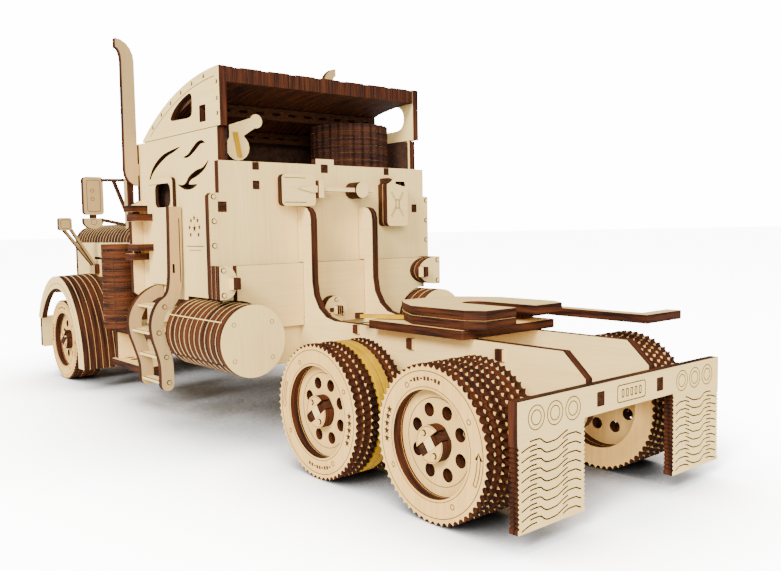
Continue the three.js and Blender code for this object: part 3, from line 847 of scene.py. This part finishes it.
on_both_sides(fuel_tank, "tank", "chassis",
              [plywood("Y", "Z", edge=RED_EDGE, name="reddish plywood"), brown, plywood("X", "Y"),
               scorch], stands_for="fuel_tank_")
print("discs in a tank:", TANK["discs"])

# %% [markdown]
# ## Front fenders
#
# Six arched plates side by side make a fender. The outer one is pale and reaches further
# forward; each plate behind it is a little larger, so its pale rim shows as a thin line
# between two burnt edges. A tongue ties the plates to the chassis rail.

# %% Fenders
ARCH = {"centre": 325.0, "low": 11.0, "outer": 53.0, "plates": 5}


def fender_plate(grow, front_turn):
    centre, low = ARCH["centre"], ARCH["low"]
    return (arc(centre, low, 40 + grow, 47.2 + grow, front_turn, 90, 12)
            + arc(centre, low, 38 + grow, 47.2 + grow, 90, 180, 24)
            + arc(centre, low, 30, 40.5, 180, 90, 24)
            + arc(centre, low, 34.5, 40.5, 90, front_turn + 5, 10))


def fender(bm):
    face = ARCH["outer"]
    sheet(bm, "X", [fender_plate(0, 28)], face - 2.9, face)
    drawn_line(bm, "X", arc(ARCH["centre"], ARCH["low"], 33.6, 43.3, 8, 172, 60), face, 1, 0.22)
    for i in range(ARCH["plates"]):
        top = face - 3.2 - 3.3 * i
        sheet(bm, "X", [fender_plate(0.15 + 0.12 * i, 62)], top - 3.1, top)
    block(bm, RAIL_SIDE, 35, 290, 295, 34, 42)


on_both_sides(fender, "wheel_arch", "chassis", [plywood("X", "Y"), scorch], stands_for="fender_")
print("plates in a fender:", 1 + ARCH["plates"])

# %% [markdown]
# ## Hood
#
# The engine cover has two plain sides and a rounded top made of many ribs with gaps between
# them. A rib is a flat arch: an outline with square feet outside and a smaller arch inside.
# Thinner arches fill the gaps, set a little lower, dark from their burnt edges and from painted shade.

# %% Hood
HOOD = {"half": 30.0, "shoulder": 76.0, "top": 86.0, "rear": 219.0, "front": 357.3, "gaps": 32,
        "rib": 2.8}


def hood_arch(drop, wall):
    half, shoulder, top = HOOD["half"] - drop, HOOD["shoulder"], HOOD["top"] - drop
    outer = (arc(half - 12, shoulder, 12, top - shoulder, 0, 90, 10)
             + arc(12 - half, shoulder, 12, top - shoulder, 90, 180, 10))
    inside = half - wall
    inner = (arc(inside - 11, shoulder, 11, top - wall - shoulder, 0, 90, 10)
             + arc(11 - inside, shoulder, 11, top - wall - shoulder, 90, 180, 10))
    return outer + inner[::-1]


def side_slots():
    """Three short upright slots and a long level one in the hood's side."""
    return [rounded(240, 241.6, 59.5, 71, 0.6, 2), rounded(245, 246.6, 59.5, 68, 0.6, 2),
            rounded(258, 259.6, 64, 68.5, 0.6, 2), rounded(300, 330, 66.5, 68, 0.6, 2)]


def hood(bm):
    rear, front, half = HOOD["rear"], HOOD["front"], HOOD["half"]
    count, rib = HOOD["gaps"], HOOD["rib"]
    pitch = (front - rear - rib) / count
    for i in range(count + 1):
        near = rear + pitch * i
        sheet(bm, "Y", [hood_arch(0, PLY)], near, near + rib)
        if i < count:
            sheet(bm, "Y", [hood_arch(0.18, 2.2)], near + rib, near + pitch, 1)
    wall = [(rear, 57), (front, 57), (front, 75.9), (rear, 75.9)]
    for side in (1, -1):
        sheet(bm, "X", [wall, *side_slots()], side * (half - PLY), side * half, 2)


cover = bmesh.new()
hood(cover)
finish_piece(cover, "ribbed_hood", "nose",
             [plywood("Y", "X"), hollow, plywood("X", "Y")], stands_for=["hood"])
print("ribs on the hood:", 1 + HOOD["gaps"])

# %% [markdown]
# ## Air cleaners
#
# The upright drums beside the hood are piles of equal discs lying flat. Only their burnt
# edges show, with a fine seam between each two, and two thin upright strips lock the pile.

# %% Air cleaners
CLEANER = {"x": 50.6, "d": 240.0, "low": 37.3, "top": 76.0, "radius": 7.8, "discs": 13,
           "pitch": 2.98, "disc": 2.86}


def air_cleaner(bm):
    x, d, low, radius = (CLEANER[k] for k in ("x", "d", "low", "radius"))
    for i in range(CLEANER["discs"]):
        z0 = low + CLEANER["pitch"] * i
        seam = z0 + CLEANER["disc"]
        sheet(bm, "Z", [circle(x, d, radius, 40)], z0, seam)
        sheet(bm, "Z", [circle(x, d, radius - 0.5, 24)], seam, min(z0 + CLEANER["pitch"], CLEANER["top"]))
    for turn in (-52, 128):
        across, out = math.radians(turn + 90), math.radians(turn)
        corners = [(x + a * math.cos(out) + b * math.cos(across),
                    d + a * math.sin(out) + b * math.sin(across))
                   for a, b in ((6.5, 0.3), (6.5, -0.3), (7.78, -0.3), (7.78, 0.3))]
        sheet(bm, "Z", [corners], low, 70, 1)


on_both_sides(air_cleaner, "filter_drum", "chassis",
              [plywood("Z", "X", edge=RED_EDGE, name="reddish plywood"), brown],
              "air_cleaner_")
print("discs in an air cleaner:", CLEANER["discs"])

# %% [markdown]
# ## Cab sides with cut-out flames
#
# The cab's sides are decorated with flame shapes cut right through. A flame is a few points
# joined by a smooth curve, so the outline is drawn by a Catmull-Rom curve through them.

# %% Cab sides
CAB = {"half": 49.0, "rear": 144.0, "front": 214.7, "low": 53.5, "top": 119.7}


def between(p0, p1, p2, p3, steps):
    """Points of a smooth curve from p1 on toward p2, with p0 and p3 as its neighbours."""
    p0, p1, p2, p3 = (Vector(p) for p in (p0, p1, p2, p3))
    times = [s / steps for s in range(steps)]
    return [tuple(0.5 * (2 * p1 + (p2 - p0) * t + (2 * p0 - 5 * p1 + 4 * p2 - p3) * t ** 2
                         + (3 * p1 - p0 - 3 * p2 + p3) * t ** 3)) for t in times]


def flowing(points, steps=4):
    """A smooth closed curve through the points."""
    n = len(points)
    return [q for i in range(n) for q in between(*(points[(i + k) % n] for k in (-1, 0, 1, 2)), steps)]


def flames():
    long_flame = flowing([(208, 99.4), (206, 104), (201.5, 108.9), (192.5, 112.9), (182, 114.5),
                          (175.3, 115), (181, 113.4), (188, 112), (197, 108.8), (203.5, 105)])
    short_flame = flowing([(172.5, 110.7), (168.5, 111.5), (164.6, 113.6), (160.5, 115.5),
                           (156.5, 115.9), (153.7, 114.5), (157.2, 114.5), (162, 112.4),
                           (167, 110.5), (170.5, 110.1)])
    leaf = flowing([(178.5, 100.2), (174.5, 99.7), (171.3, 100.5), (168, 102.9), (162, 104.8),
                    (156.3, 105.6), (151.4, 108), (154.5, 104.9), (160.5, 102.6), (166.3, 101.3),
                    (168.2, 99.7), (161.4, 99.3), (165.5, 97.8), (171, 97.6), (175.5, 98.7)])
    return [long_flame, short_flame, leaf]


def emblem(bm, face):
    """A plain mark: a ring of small stars round a larger one, over two drawn bars."""
    d, z = 165.0, 82.2
    for i in range(7):
        turn = math.radians(90 + (i - 3) * 42)
        sheet(bm, "X", [star(d + 4.2 * math.cos(turn), z + 4.2 * math.sin(turn), 1.2)],
              face, face + MARK, 1)
    sheet(bm, "X", [star(d, z, 1.7)], face, face + MARK, 1)
    for half, drop, width in ((7.5, 7.0, 0.3), (5.0, 8.6, 0.2)):
        drawn_line(bm, "X", [(d - half, z - drop), (d + half, z - drop)], face, 1, width)


def cab_side(bm):
    rear, front, low, top, half = (CAB[k] for k in ("rear", "front", "low", "top", "half"))
    outline = [(rear, low + 1.6), (172.6, low + 1.6), (172.6, low), (front, low), (front, top),
               (rear, top)]
    opening = rounded(182, 203, 61.5, 101.2, 2)
    slot = rounded(177.4, 178.4, 64, 67, 0.2, 1)
    sheet(bm, "X", [outline, opening, slot, *flames()], half - PLY, half)
    emblem(bm, half)
    for z in (60, 71, 82, 93):
        pin(bm, "X", 146.2, z, half, 1, 0.6, 1)


on_both_sides(cab_side, "cab_wall", "chassis", [plywood("X", "Z"), scorch], stands_for="cab_side_")
print("flames on each side:", len(flames()))

# %% [markdown]
# ## Doors and their hinges
#
# A door is a thin leaf with a window. Each of its two hinges is a level plate on the leaf and
# a shorter one on the cab, with a small round spacer between them on the door's turning
# line. The plates' burnt edges make the dark bars beside the door. Dark inner walls close the
# cab behind the cut-out flames; their dark colour is painted shade for the unlit inside.

# %% Doors, hinges and the cab's inner walls
HINGE = {"x": 54.0, "d": 210.0, "end": 3.9}
LEAF_IN, LEAF_OUT = 49.3, 50.8   # the door leaf's two faces


def hinge_plate(bm, z0, z1, reach, inner=LEAF_OUT + 0.05):
    """A level plate whose front end is rounded about the hinge's pin."""
    x, d = HINGE["x"], HINGE["d"]
    end = HINGE["end"]
    outline = [(x + end, reach), *arc(x, d, end, end, 0, 180, 10), (x - end, d - 4.6), (inner, d - 5),
               (inner, reach)]
    sheet(bm, "Z", [outline], z0, z1, 1)


def door_leaf(bm):
    sheet(bm, "X", [rounded(180, 205, 59.2, 103.3, 2), rounded(182.2, 196.8, 91.2, 101, 2.6)],
          LEAF_IN, LEAF_OUT)
    drawn_line(bm, "X", [(182, 62), (182, 101), (203, 101)], LEAF_OUT, 1, 0.2, 2)
    for z0, z1 in ((85.9, 88.9), (73.1, 76.1)):
        hinge_plate(bm, z0, z1, 200)


def fixed_hinges(bm):
    for z0, z1 in ((90, 92.6), (69.2, 72)):
        sheet(bm, "Z", [rounded(49.1, 57.9, 206, 214.6, 0.8, 2)], z0, z1)
    for z0, z1 in ((88.9, 90), (72, 73.1)):
        sheet(bm, "Z", [circle(HINGE["x"], HINGE["d"], 1.5, 16)], z0, z1)
    sheet(bm, "X", [rounded(206, 214.6, 56, 94, 0.8, 2)], 47.5, 49.05, 1)


def inner_walls(bm):
    for low, high in ((54, 103.7), (107.3, 119.5)):
        sheet(bm, "X", [rounded(145, 214, low, high, 0.5, 1)], 44.3, 45.8)


on_both_sides(door_leaf, "door_leaf", {"left": "door_left_leaf", "right": "door_right_leaf"},
              [plywood("X", "Z"), plywood("Z", "X"), scorch], stands_for="door_")
on_both_sides(fixed_hinges, "door_hinge", "chassis", [plywood("Z", "X"), plywood("X", "Z")])
# The inner walls are dark as painted shade inside the cab.
on_both_sides(inner_walls, "inner_wall", "chassis", [hollow])
print("doors, hinges and inner walls are built")

# %% [markdown]
# ## Roof
#
# The raised roof is a row of arched slats between two side walls, every fourth a little
# lower. Their burnt edges show as fine stripes across the whole rear edge; their faces show
# only in the gaps and are dark as painted shade. Two beams with rows of holes run across
# under them, dark brown all over as painted shade.

# %% Roof slats
# Painted shade: the slats' faces show only in the gaps between them, so they are coloured dark.
GAP_SHADE = ((0.20, 0.10, 0.045), (0.11, 0.05, 0.022))   # what shows in the gaps between the slats
ROOF = {"rear": 141.4, "front": 211.5, "centre": 13.7, "radius": 128.1, "reach": 45.9, "slats": 30}
ROOF_TURN = math.degrees(math.acos((ROOF["front"] - ROOF["rear"]) / ROOF["radius"]))
BEAMS = ((168, 127.6, 132.4), (190, 120.5, 125.0))   # distance ahead, lower and upper edge


def roof_curve(radius, start, end, steps):
    """Points on a curve that runs with the roof's own."""
    return arc(ROOF["rear"], ROOF["centre"], radius, radius, start, end, steps)


def roof_slat(top, low):
    return roof_curve(top, ROOF_TURN, 90, 18) + roof_curve(low, 90, ROOF_TURN, 18)


def roof_cover(bm):
    reach, radius = ROOF["reach"], ROOF["radius"]
    pitch = 2 * reach / ROOF["slats"]
    for i in range(ROOF["slats"]):
        x0 = -reach + pitch * i
        top = radius - (0.1 if i % 4 else 0.35)
        sheet(bm, "X", [roof_slat(top, radius - 5.8)], x0 + 0.05, x0 + pitch - 0.05)
    for d, z0, z1 in BEAMS:
        holes = [rounded(x - 2.2, x + 2.2, z0 + 1.8, z1 - 1.8, 0.8, 2) for x in range(-40, 41, 8)]
        # The beams are dark brown all over as painted shade under the roof.
        sheet(bm, "Y", [[(-reach, z0), (reach, z0), (reach, z1), (-reach, z1)], *holes], d, d + PLY, 1)


roof = bmesh.new()
roof_cover(roof)
finish_piece(roof, "roof_slats", "chassis",
             [plywood("X", "Y", face=GAP_SHADE, name="gap shade plywood"), brown],
             ["roof_skin"])
print("slats:", ROOF["slats"], "over", len(BEAMS), "perforated beams")

# %% [markdown]
# ## Roof sides
#
# Each side is one sheet under the same curve. The left one has a slanted window and a slot,
# and the right one a single, larger window. Pin ends and a drawn line follow the curve.

# %% Roof sides
LEFT_GLASS = [(183.2, 126.4), (174, 125.6), (165, 125.8), (163.6, 130), (164.2, 134.2), (168.5, 134.3),
              (178, 131)]
RIGHT_GLASS = [(183.2, 126.4), (168, 125.4), (152, 125), (147.8, 129), (149.5, 134.3), (156, 136.4),
               (166, 135.2), (176, 131.6)]


def roof_wall(bm, glass):
    """One side of the roof, drawn on the left."""
    face = CAB["half"]
    shape = [(ROOF["rear"], 120), (ROOF["front"], 120), *roof_curve(ROOF["radius"], ROOF_TURN, 90, 30)]
    slot = [rounded(152.5, 157.7, 122.6, 129, 0.2, 1)] if glass is LEFT_GLASS else []
    sheet(bm, "X", [shape, flowing(glass), *slot], face - PLY, face)
    drawn_line(bm, "X", roof_curve(ROOF["radius"] - 3.5, 60, 88.5, 30), face, 1, 0.25, 1)
    for spot in roof_curve(ROOF["radius"] - 1.8, 62, 84.5, 5):
        pin(bm, "X", *spot, face, 1, 0.45, 1)
    for z in (124.5, 130, 136):
        pin(bm, "X", 143.4, z, face, 1, 0.45, 1)


for side, glass, sign in (("left", LEFT_GLASS, 1), ("right", RIGHT_GLASS, -1)):
    bm = bmesh.new()
    roof_wall(bm, glass)
    bmesh.ops.scale(bm, vec=(sign, 1, 1), verts=bm.verts)
    finish_piece(bm, f"roof_wall_{side}", "chassis", [plywood("X", "Y"), scorch],
                 stands_for=[f"roof_side_{side}"])

print("roof sides are built")

# %% [markdown]
# ## Drum
#
# Behind the rear opening stands a pile of six lobed discs, dark because only their burnt
# edges are seen. The lobes are wider than the tyres' teeth and stand one above the other.

# %% Drum
def lobed(x, d, radius, lobes, depth, steps=6):
    points = []
    for i in range(lobes * steps):
        reach = radius - depth * (0.5 - 0.5 * math.cos(2 * math.pi * i / steps)) ** 1.4
        turn = 2 * math.pi * i / (lobes * steps)
        points.append((x + reach * math.cos(turn), d + reach * math.sin(turn)))
    return points


DARK_EDGE = ((0.007, 0.0016, 0.0005), (0.042, 0.0105, 0.0026))
DRUM = {"x": -25.4, "d": 161.5, "low": 107.4, "radius": 17.2, "discs": 6, "pitch": 3.1}
drum = bmesh.new()
for level in range(DRUM["discs"]):
    z0 = DRUM["low"] + DRUM["pitch"] * level
    sheet(drum, "Z", [lobed(DRUM["x"], DRUM["d"], DRUM["radius"], 26, 1.3)], z0, z0 + 3.02)
sheet(drum, "Z", [circle(DRUM["x"], DRUM["d"], 15, 32)], DRUM["low"] - 0.05, 125.7)
finish_piece(drum, "lobed_drum", "drum", [plywood("Z", "X", edge=DARK_EDGE, name="dark plywood")],
             ["drive_drum"])
print("discs in the drum:", DRUM["discs"])

# %% [markdown]
# ## Back wall
#
# The wall behind the cab is one sheet with a wider part on each side. The pins and tongues
# of the sheets behind it come through and show as small rings and dark squares. At the lower
# corners sit blocks of three plies with one round side, each holding a square peg.

# %% Back wall
WALL = 140.7   # how far ahead the wall's rear face stands
BLOCK_PLY = 3.1   # a ply with its seam
WALL_PINS = ((53.1, 93.6), (53.1, 84.6), (53.2, 75.6), (-52.3, 93.3), (-52.3, 84.4), (-52.2, 75.7))
WALL_SLOTS = ((33.6, 36.5, 104, 106.9), (33.6, 36.5, 96.6, 99.9), (-30.7, -28, 104, 106.9),
              (-46.6, -43.7, 88, 91.5), (47.8, 51.4, 88, 91.9), (1.5, 4.9, 103.8, 107.2),
              (-16.6, -14.9, 94.2, 99.6))


def tongue_end(bm, x0, x1, z0, z1, level):
    """The burnt end of a tongue that fills its slot."""
    sheet(bm, "Y", [rounded(x0, x1, z0, z1, 0.15, 1)], level, level - 0.12, 1)


def corner_block(bm, x, out, reach):
    """Three plies with one round side. `out` is the side the straight edge stands on."""
    edge = x + out * 2.3
    shape = [(edge, 68.3), (edge, 56.3), *arc(x, 62.3, -out * reach, 6, -90, 90, 12)]
    rear = WALL - 3 * BLOCK_PLY
    for i in range(3):
        sheet(bm, "Y", [shape], rear + BLOCK_PLY * i, rear + BLOCK_PLY * i + 2.95)
    for z in (66.8, 57.8):
        pin(bm, "Y", x + out * 0.7, z, rear, -1, 0.75, 2)
    peg = x - out * (reach - 1.6)
    sheet(bm, "X", [rounded(128.6, 131.5, 59.8, 64.1, 0.2, 1)], peg - 1.5, peg + 1.5, 3)


def wall_sheet(bm):
    notch = [(-15, 28.4), (-15, 43.5), (15, 43.5), (15, 28.4)]
    tank = {s: arc(s * TANK["x"], TANK["z"], 14, 14, 90 + s * 68, 90 - s * 17, 12) for s in (1, -1)}
    left_ear = [(50.7, 57.5), (55, 57.5), (55, 94), (54, 95), (50.7, 95), (50.7, 107)]
    crown = [(7.3, 107), (7.3, 109.3), (-1.6, 109.3), (-1.6, 107)]
    right_ear = [(-50.7, 107), (-50.7, 95), (-53.4, 95), (-53.4, 57.5), (-50.7, 57.5)]
    outline = (left_ear + crown + right_ear + tank[-1][::-1] + [(-32, 28.4)] + notch + [(32, 28.4)]
               + tank[1])
    sheet(bm, "Y", [outline], WALL, WALL + PLY)
    for x, z in WALL_PINS:
        pin(bm, "Y", x, z, WALL, -1, 0.75, 2)
    for x0, x1, z0, z1 in WALL_SLOTS:
        tongue_end(bm, x0, x1, z0, z1, WALL)
    corner_block(bm, 54.2, 1, 4.8)
    corner_block(bm, -49.4, -1, 10.2)


wall = bmesh.new()
wall_sheet(wall)
finish_piece(wall, "back_wall", "chassis", [plywood("Y", "Z"), brown, scorch, plywood("X", "Y")],
             stands_for=["back_panel", "corner_bracket_left", "corner_bracket_right"])
print("back wall with", len(WALL_SLOTS), "slots is built")

# %% [markdown]
# ## Shovel, can and winding hub
#
# Three small things hang on the wall. The shovel is a blade with a thin handle, held by a
# clamp and a round stud.
# The can is two plies thick and has a cross drawn on it. The hub is a round socket with a
# square peg made of three plies, where a key winds the motor.

# %% Things on the back wall
THINGS = 134.4   # how far ahead the shovel's blade and the can begin


def shovel(bm):
    sheet(bm, "Y", [rounded(12, 27.5, 90.2, 102.4, 1.8, 4)], THINGS, THINGS + PLY)
    sheet(bm, "Y", [[(20.5, 96.9), (13.5, 98.4), (8, 97.6), (-17.4, 97.6), (-17.4, 96), (8, 96),
                     (13.5, 95.4)]], 133.9, 137.3)
    for z in (91.6, 101):
        drawn_line(bm, "Y", [(26.5, z), (16.5, z)], THINGS, -1, 0.25, 2)
    sheet(bm, "Z", [rounded(8.6, 11.4, 133, 140.4, 0.4, 2)], 93.4, 100.2)
    sheet(bm, "Y", [circle(-10.2, 96.8, 3.2, 20)], 133, 134.6)
    sheet(bm, "Y", [circle(-10.2, 96.8, 3.4, 20)], 134.7, 140.4, 1)


def jerry_can(bm):
    shape = ([(-36, 84), (-36, 101)] + arc(-35, 101, 1, 1, 180, 90, 3)
             + [(-27.8, 102), (-26.6, 100.6), (-24.5, 99.6)] + arc(-26.3, 83.8, 1.8, 1.8, 0, -90, 4)
             + arc(-34.2, 83.8, 1.8, 1.8, 270, 180, 4))
    grip = [(-34.8, 99), (-34.2, 100.9), (-29.4, 100.9), (-29, 99.9), (-33.8, 98.8)]
    for near in (THINGS, THINGS + BLOCK_PLY):
        sheet(bm, "Y", [shape, grip], near, near + 2.9)
    sheet(bm, "Y", [rounded(-27.5, -24.8, 99.8, 102.3, 0.4, 2)], 135.4, 139.4, 1)
    middle = (-30.2, 91.3)
    for du, dv in ((1, 1), (1, -1), (-1, 1), (-1, -1)):
        start = (middle[0] + du * 1.0, middle[1] + dv * 1.4)
        end = (middle[0] + du * 3.4, middle[1] + dv * 5.2)
        for shift in (0.35, -0.35):
            drawn_line(bm, "Y", beside([start, end], shift), THINGS, -1, 0.16, 2)
    x, z = middle
    for size in (0.75, 1.1):
        tall = size + 0.9
        sheet(bm, "Y", [rounded(x - size, x + size, z - tall, z + tall, 0.3, 2),
                        rounded(x - size + 0.15, x + size - 0.15, z - tall + 0.15, z + tall - 0.15,
                                0.2, 2)], THINGS, THINGS - MARK, 2)


def winding_hub(bm):
    x, z, face = 4.0, 48.8, 133.4
    sheet(bm, "Y", [circle(x, z, 5.5, 32)], face, 137.1)
    for spot in circle(x, z, 4, 12)[3::4]:
        pin(bm, "Y", *spot, face, -1, 0.6, 2)
    sheet(bm, "Y", [rounded(x - 3.2, x + 3.2, z - 0.8, z + 0.8, 0.3, 2)], face - 0.5, face, 1)
    for i in range(3):
        x0 = x - 1.5 + i
        sheet(bm, "X", [rounded(130.6, face, z - 1.6, z + 1.6, 0.15, 1)], x0 + 0.05, x0 + 0.95, 3)


for draw, name, body, gone in ((shovel, "wall_shovel", "chassis", "shovel"),
                               (jerry_can, "wall_can", "chassis", "jerry_can"),
                               (winding_hub, "winding_socket", "winder", "winding_hub")):
    bm = bmesh.new()
    draw(bm)
    finish_piece(bm, name, body, [plywood("Y", "X"), brown, scorch, plywood("X", "Y")],
                 [gone])
print("shovel, can and winding hub are built")

# %% [markdown]
# ## Step frames
#
# Two uprights curve outward like an S and carry four rungs, whose thin pale tops are the
# treads. Each upright is a band of even width along a smooth line, in a darker painted-shade tan.

# %% Step frames
def smooth(points, steps=6):
    """A smooth open curve through the points."""
    run = [points[0], *points, points[-1]]
    stretches = range(1, len(run) - 2)
    return [q for i in stretches for q in between(*run[i - 1:i + 3], steps)] + [points[-1]]


REAR_UPRIGHT = [(52.2, 91), (52.4, 76), (52.9, 61), (54.8, 54.5), (59, 50.8), (61.1, 45.5),
                (60.9, 40), (59.2, 34), (57.9, 28), (57.8, 19.8)]
FRONT_UPRIGHT = [(49.4, 56.2), (53, 55.8), (58.2, 52.5), (61.7, 47), (62.1, 41), (60, 34), (58, 27),
                 (57.7, 19.8)]
RUNGS = ((58.6, 51.2), (61.4, 41), (58.6, 31), (57.8, 20.6))
STEPS = {"rear": 175.0, "front": 198.0, "half": 2.6}


def upright(points):
    """A band along the points, with a round foot."""
    path, (x, z) = smooth(points), points[-1]
    half = STEPS["half"]
    return beside(path, half) + arc(x, z, half, half, 0, -180, 8) + beside(path, -half)[::-1]


def step_frame(bm):
    slit_line = rounded(50.6, 51.0, 60.5, 86.5, 0.1, 1)
    slot = rounded(53.2, 54.2, 64.5, 68.2, 0.3, 2)
    rear, front = STEPS["rear"], STEPS["front"]
    sheet(bm, "Y", [upright(REAR_UPRIGHT), slit_line, slot], rear, rear + PLY)
    sheet(bm, "Y", [upright(FRONT_UPRIGHT)], front - PLY, front)
    near, far = rear + PLY + 0.05, front - PLY - 0.05
    for x, z in RUNGS:
        sheet(bm, "Z", [rounded(x - 2.4, x + 1.4, near, far, 0.3, 1)], z - 0.5, z + 0.3, 3)
        sheet(bm, "X", [rounded(near, far, z - 0.7, z + 0.3, 0.2, 1)], x + 1.4, x + 2.2, 4)
        pin(bm, "Y", x - 0.5, z, rear, -1, 0.75, 2)


on_both_sides(step_frame, "steps", "chassis",
              [plywood("Y", "Z", TAN, name="shaded plywood"), brown, scorch, plywood("Z", "Y"),
               plywood("X", "Y")], "step_frame_")
print("rungs:", len(RUNGS))

# %% [markdown]
# ## Side boxes
#
# Between the steps and the fender hangs an open box: a level top sheet, an inner wall, two
# ends and a floor with round holes. Two short blocks tie it to the chassis rail.

# %% Side boxes
BOX = {"low": 17.6, "high": 37.0, "inner": 36.0, "outer": 50.0, "rear": 216.0, "front": 256.0}


def side_box(bm):
    low, high, inner, outer, rear, front = BOX.values()
    holes = [circle(43, rear + 5 + 7.6 * i, 2.5, 16) for i in range(5)]
    sheet(bm, "Z", [rounded(inner, outer, rear - 10, front, 1, 2)], high - PLY, high)
    sheet(bm, "Z", [rounded(inner, outer, rear, front, 1, 2), *holes], low, low + PLY)
    bottom, top = low + PLY + 0.1, high - PLY - 0.1
    sheet(bm, "X", [rounded(rear, front - 2, bottom, top, 0.2, 1)], inner + 1, inner + 1 + PLY, 1)
    for d in (rear, front - 5):
        sheet(bm, "Y", [rounded(inner + 4.1, outer - 1.5, bottom, top, 0.2, 1)], d, d + PLY, 2)
    for d in (220, 243):
        block(bm, RAIL_SIDE, inner + 1, d, d + PLY, 33, high, 2)


on_both_sides(side_box, "step_box", "chassis",
              [plywood("Z", "Y"), plywood("X", "Y"), plywood("Y", "X")], stands_for="side_box_")
print("side boxes are", BOX["front"] - BOX["rear"] + 10, "mm long")

# %% [markdown]
# ## Mirrors
#
# A tall door mirror hangs on thin arms from the cab's front corner, with a small half-round
# one below it. A smaller mirror stands on two slanted arms beside the hood. An arm is a thin
# square bar between two places, so it is a cube stretched and turned along that line.

# %% Mirrors
def bar(bm, start, end, width, finish=0):
    """A thin square bar between two places given as (x, distance ahead, height)."""
    a, b = (Vector((p[0], ahead(p[1]), p[2])) for p in (start, end))
    turn = (b - a).to_track_quat("Z", "Y").to_matrix().to_4x4()
    size = Matrix.Diagonal((width, width, (b - a).length, 1))
    made = bmesh.ops.create_cube(bm, size=1, matrix=Matrix.Translation((a + b) / 2) @ turn @ size)
    for face in {f for v in made["verts"] for f in v.link_faces}:
        face.material_index = finish


def frame_line(bm, x0, x1, z0, z1, level, inset):
    sheet(bm, "Y", [rounded(x0 + inset, x1 - inset, z0 + inset, z1 - inset, 1.2, 4),
                    rounded(x0 + inset + 0.2, x1 - inset - 0.2, z0 + inset + 0.2, z1 - inset - 0.2,
                            1, 4)], level, level - MARK, 2)


TALL_GLASS = (57.4, 66.4, 89.4, 106.5)    # X from and to, Z from and to
SMALL_GLASS = (45.4, 52.4, 83.0, 89.8)


def door_mirror(bm):
    rear = 238
    sheet(bm, "Y", [rounded(*TALL_GLASS, 1.6, 4)], rear, rear + PLY)
    frame_line(bm, *TALL_GLASS, rear, 1.4)
    low_glass = [(57.8, 87.9), (66.6, 87.9), *arc(62.2, 86.3, 4.4, 3.2, 0, -180, 12)]
    sheet(bm, "Y", [low_glass], rear, rear + PLY)
    for z in (96.5, 100.3):
        drawn_ring(bm, "Y", 62.4, z, 0.75, rear, -1, 0.2, 14, 2)
    drawn_ring(bm, "Y", 62.2, 86.2, 1.3, rear, -1, 0.16, 16, 2)
    bar(bm, (62, 239.5, 87.6), (62, 239.5, 89.7), 2.4, 1)
    sheet(bm, "X", [rounded(218.3, 222, 83, 104.8, 0.6, 2)], 51.2, 54.2, 3)
    for start, end in (((53.5, 221, 104.2), (58, 239.5, 105.2)), ((55.6, 230, 104.4), (53.2, 221, 88.5)),
                       ((53.5, 221, 84.4), (58.4, 239.5, 87.2))):
        bar(bm, start, end, 1.3, 1)


def fender_mirror(bm):
    rear = 318.5
    sheet(bm, "Y", [rounded(*SMALL_GLASS, 1.2, 3)], rear, rear + PLY)
    frame_line(bm, *SMALL_GLASS, rear, 0.9)
    sheet(bm, "X", [rounded(322, 330, 59, 64, 0.6, 2)], HOOD["half"] + 0.3, HOOD["half"] + 3, 3)
    bar(bm, (31.6, 327, 62.5), (49.5, 321, 83.6), 1.5, 0)
    bar(bm, (31.6, 324, 62.5), (46.3, 320.5, 84.5), 1.5, 0)


# The mirrors take the darker tan, painted shade on their backward-facing faces.
shaded_look = [plywood("Y", "Z", TAN, name="shaded plywood"), brown, scorch,
            plywood("X", "Z", TAN, name="shaded plywood")]
on_both_sides(door_mirror, "tall_mirror", "chassis", shaded_look, "door_mirror_")
on_both_sides(fender_mirror, "small_mirror", "nose", shaded_look, "fender_mirror_")
print("four mirrors are built")

# %% [markdown]
# ## Tongues and rubber bands
#
# The cross pieces of the chassis end in tongues that poke through the rails. One yellow
# rubber band runs over the deck to the coupling and another round the lever in the sleeper.
# Each is drawn as its two stretched strands.

# %% Chassis tongues and rubber bands
def rail_tongues(bm):
    for d, z0, z1 in ((101.5, 43, 46.2), (72, 40.4, 44), (32, 41, 44.6)):
        sheet(bm, "Y", [rounded(13.8, 17.9, z0, z1, 0.2, 1)], d, d + PLY)


on_both_sides(rail_tongues, "rail_tongues", "chassis", [plywood("Y", "X"), scorch])

bm = bmesh.new()
for shift in (0.0, 1.7):
    bar(bm, (23.0 - shift, 93.5 - shift, 50.6), (13.6 - shift, 77.0 - shift, 50.6), 1.3, 0)
sheet(bm, "Z", [circle(22.6, 94.2, 1.6, 16)], 49.6, 51.6, 1)
finish_piece(bm, "deck_band", "chassis", [rubber, brown])

bm = bmesh.new()
for shift in (0.0, 1.0):
    bar(bm, (40.6 - shift, 146.3, 118.4), (38.9 - shift, 146.3, 109.2), 0.8, 0)
finish_piece(bm, "lever_band", "lever_inside", [rubber])

print("two bands and six tongues are built")

# %% [markdown]
# ## Deck and the sleeper's dark wall
#
# The coupling stands on a plain deck that lies over both rails. A dark inner wall closes the
# sleeper toward the windscreen; its dark colour is painted shade.

# %% Deck and sleeper wall
bm = bmesh.new()
sheet(bm, "Z", [rounded(-22, 22, 44.2, 90, 0.4, 1)], 46.6, 49.5)
finish_piece(bm, "deck", "chassis", [plywood("Z", "X")], stands_for=["deck_plate"])

bm = bmesh.new()
sheet(bm, "Y", [rounded(-42.6, 42.6, 107.2, 121.5, 0.5, 1)], 196.5, 199.5)
# The sleeper wall's dark colour is painted shade.
finish_piece(bm, "sleeper_wall", "chassis", [hollow])
print("deck and sleeper wall are built")
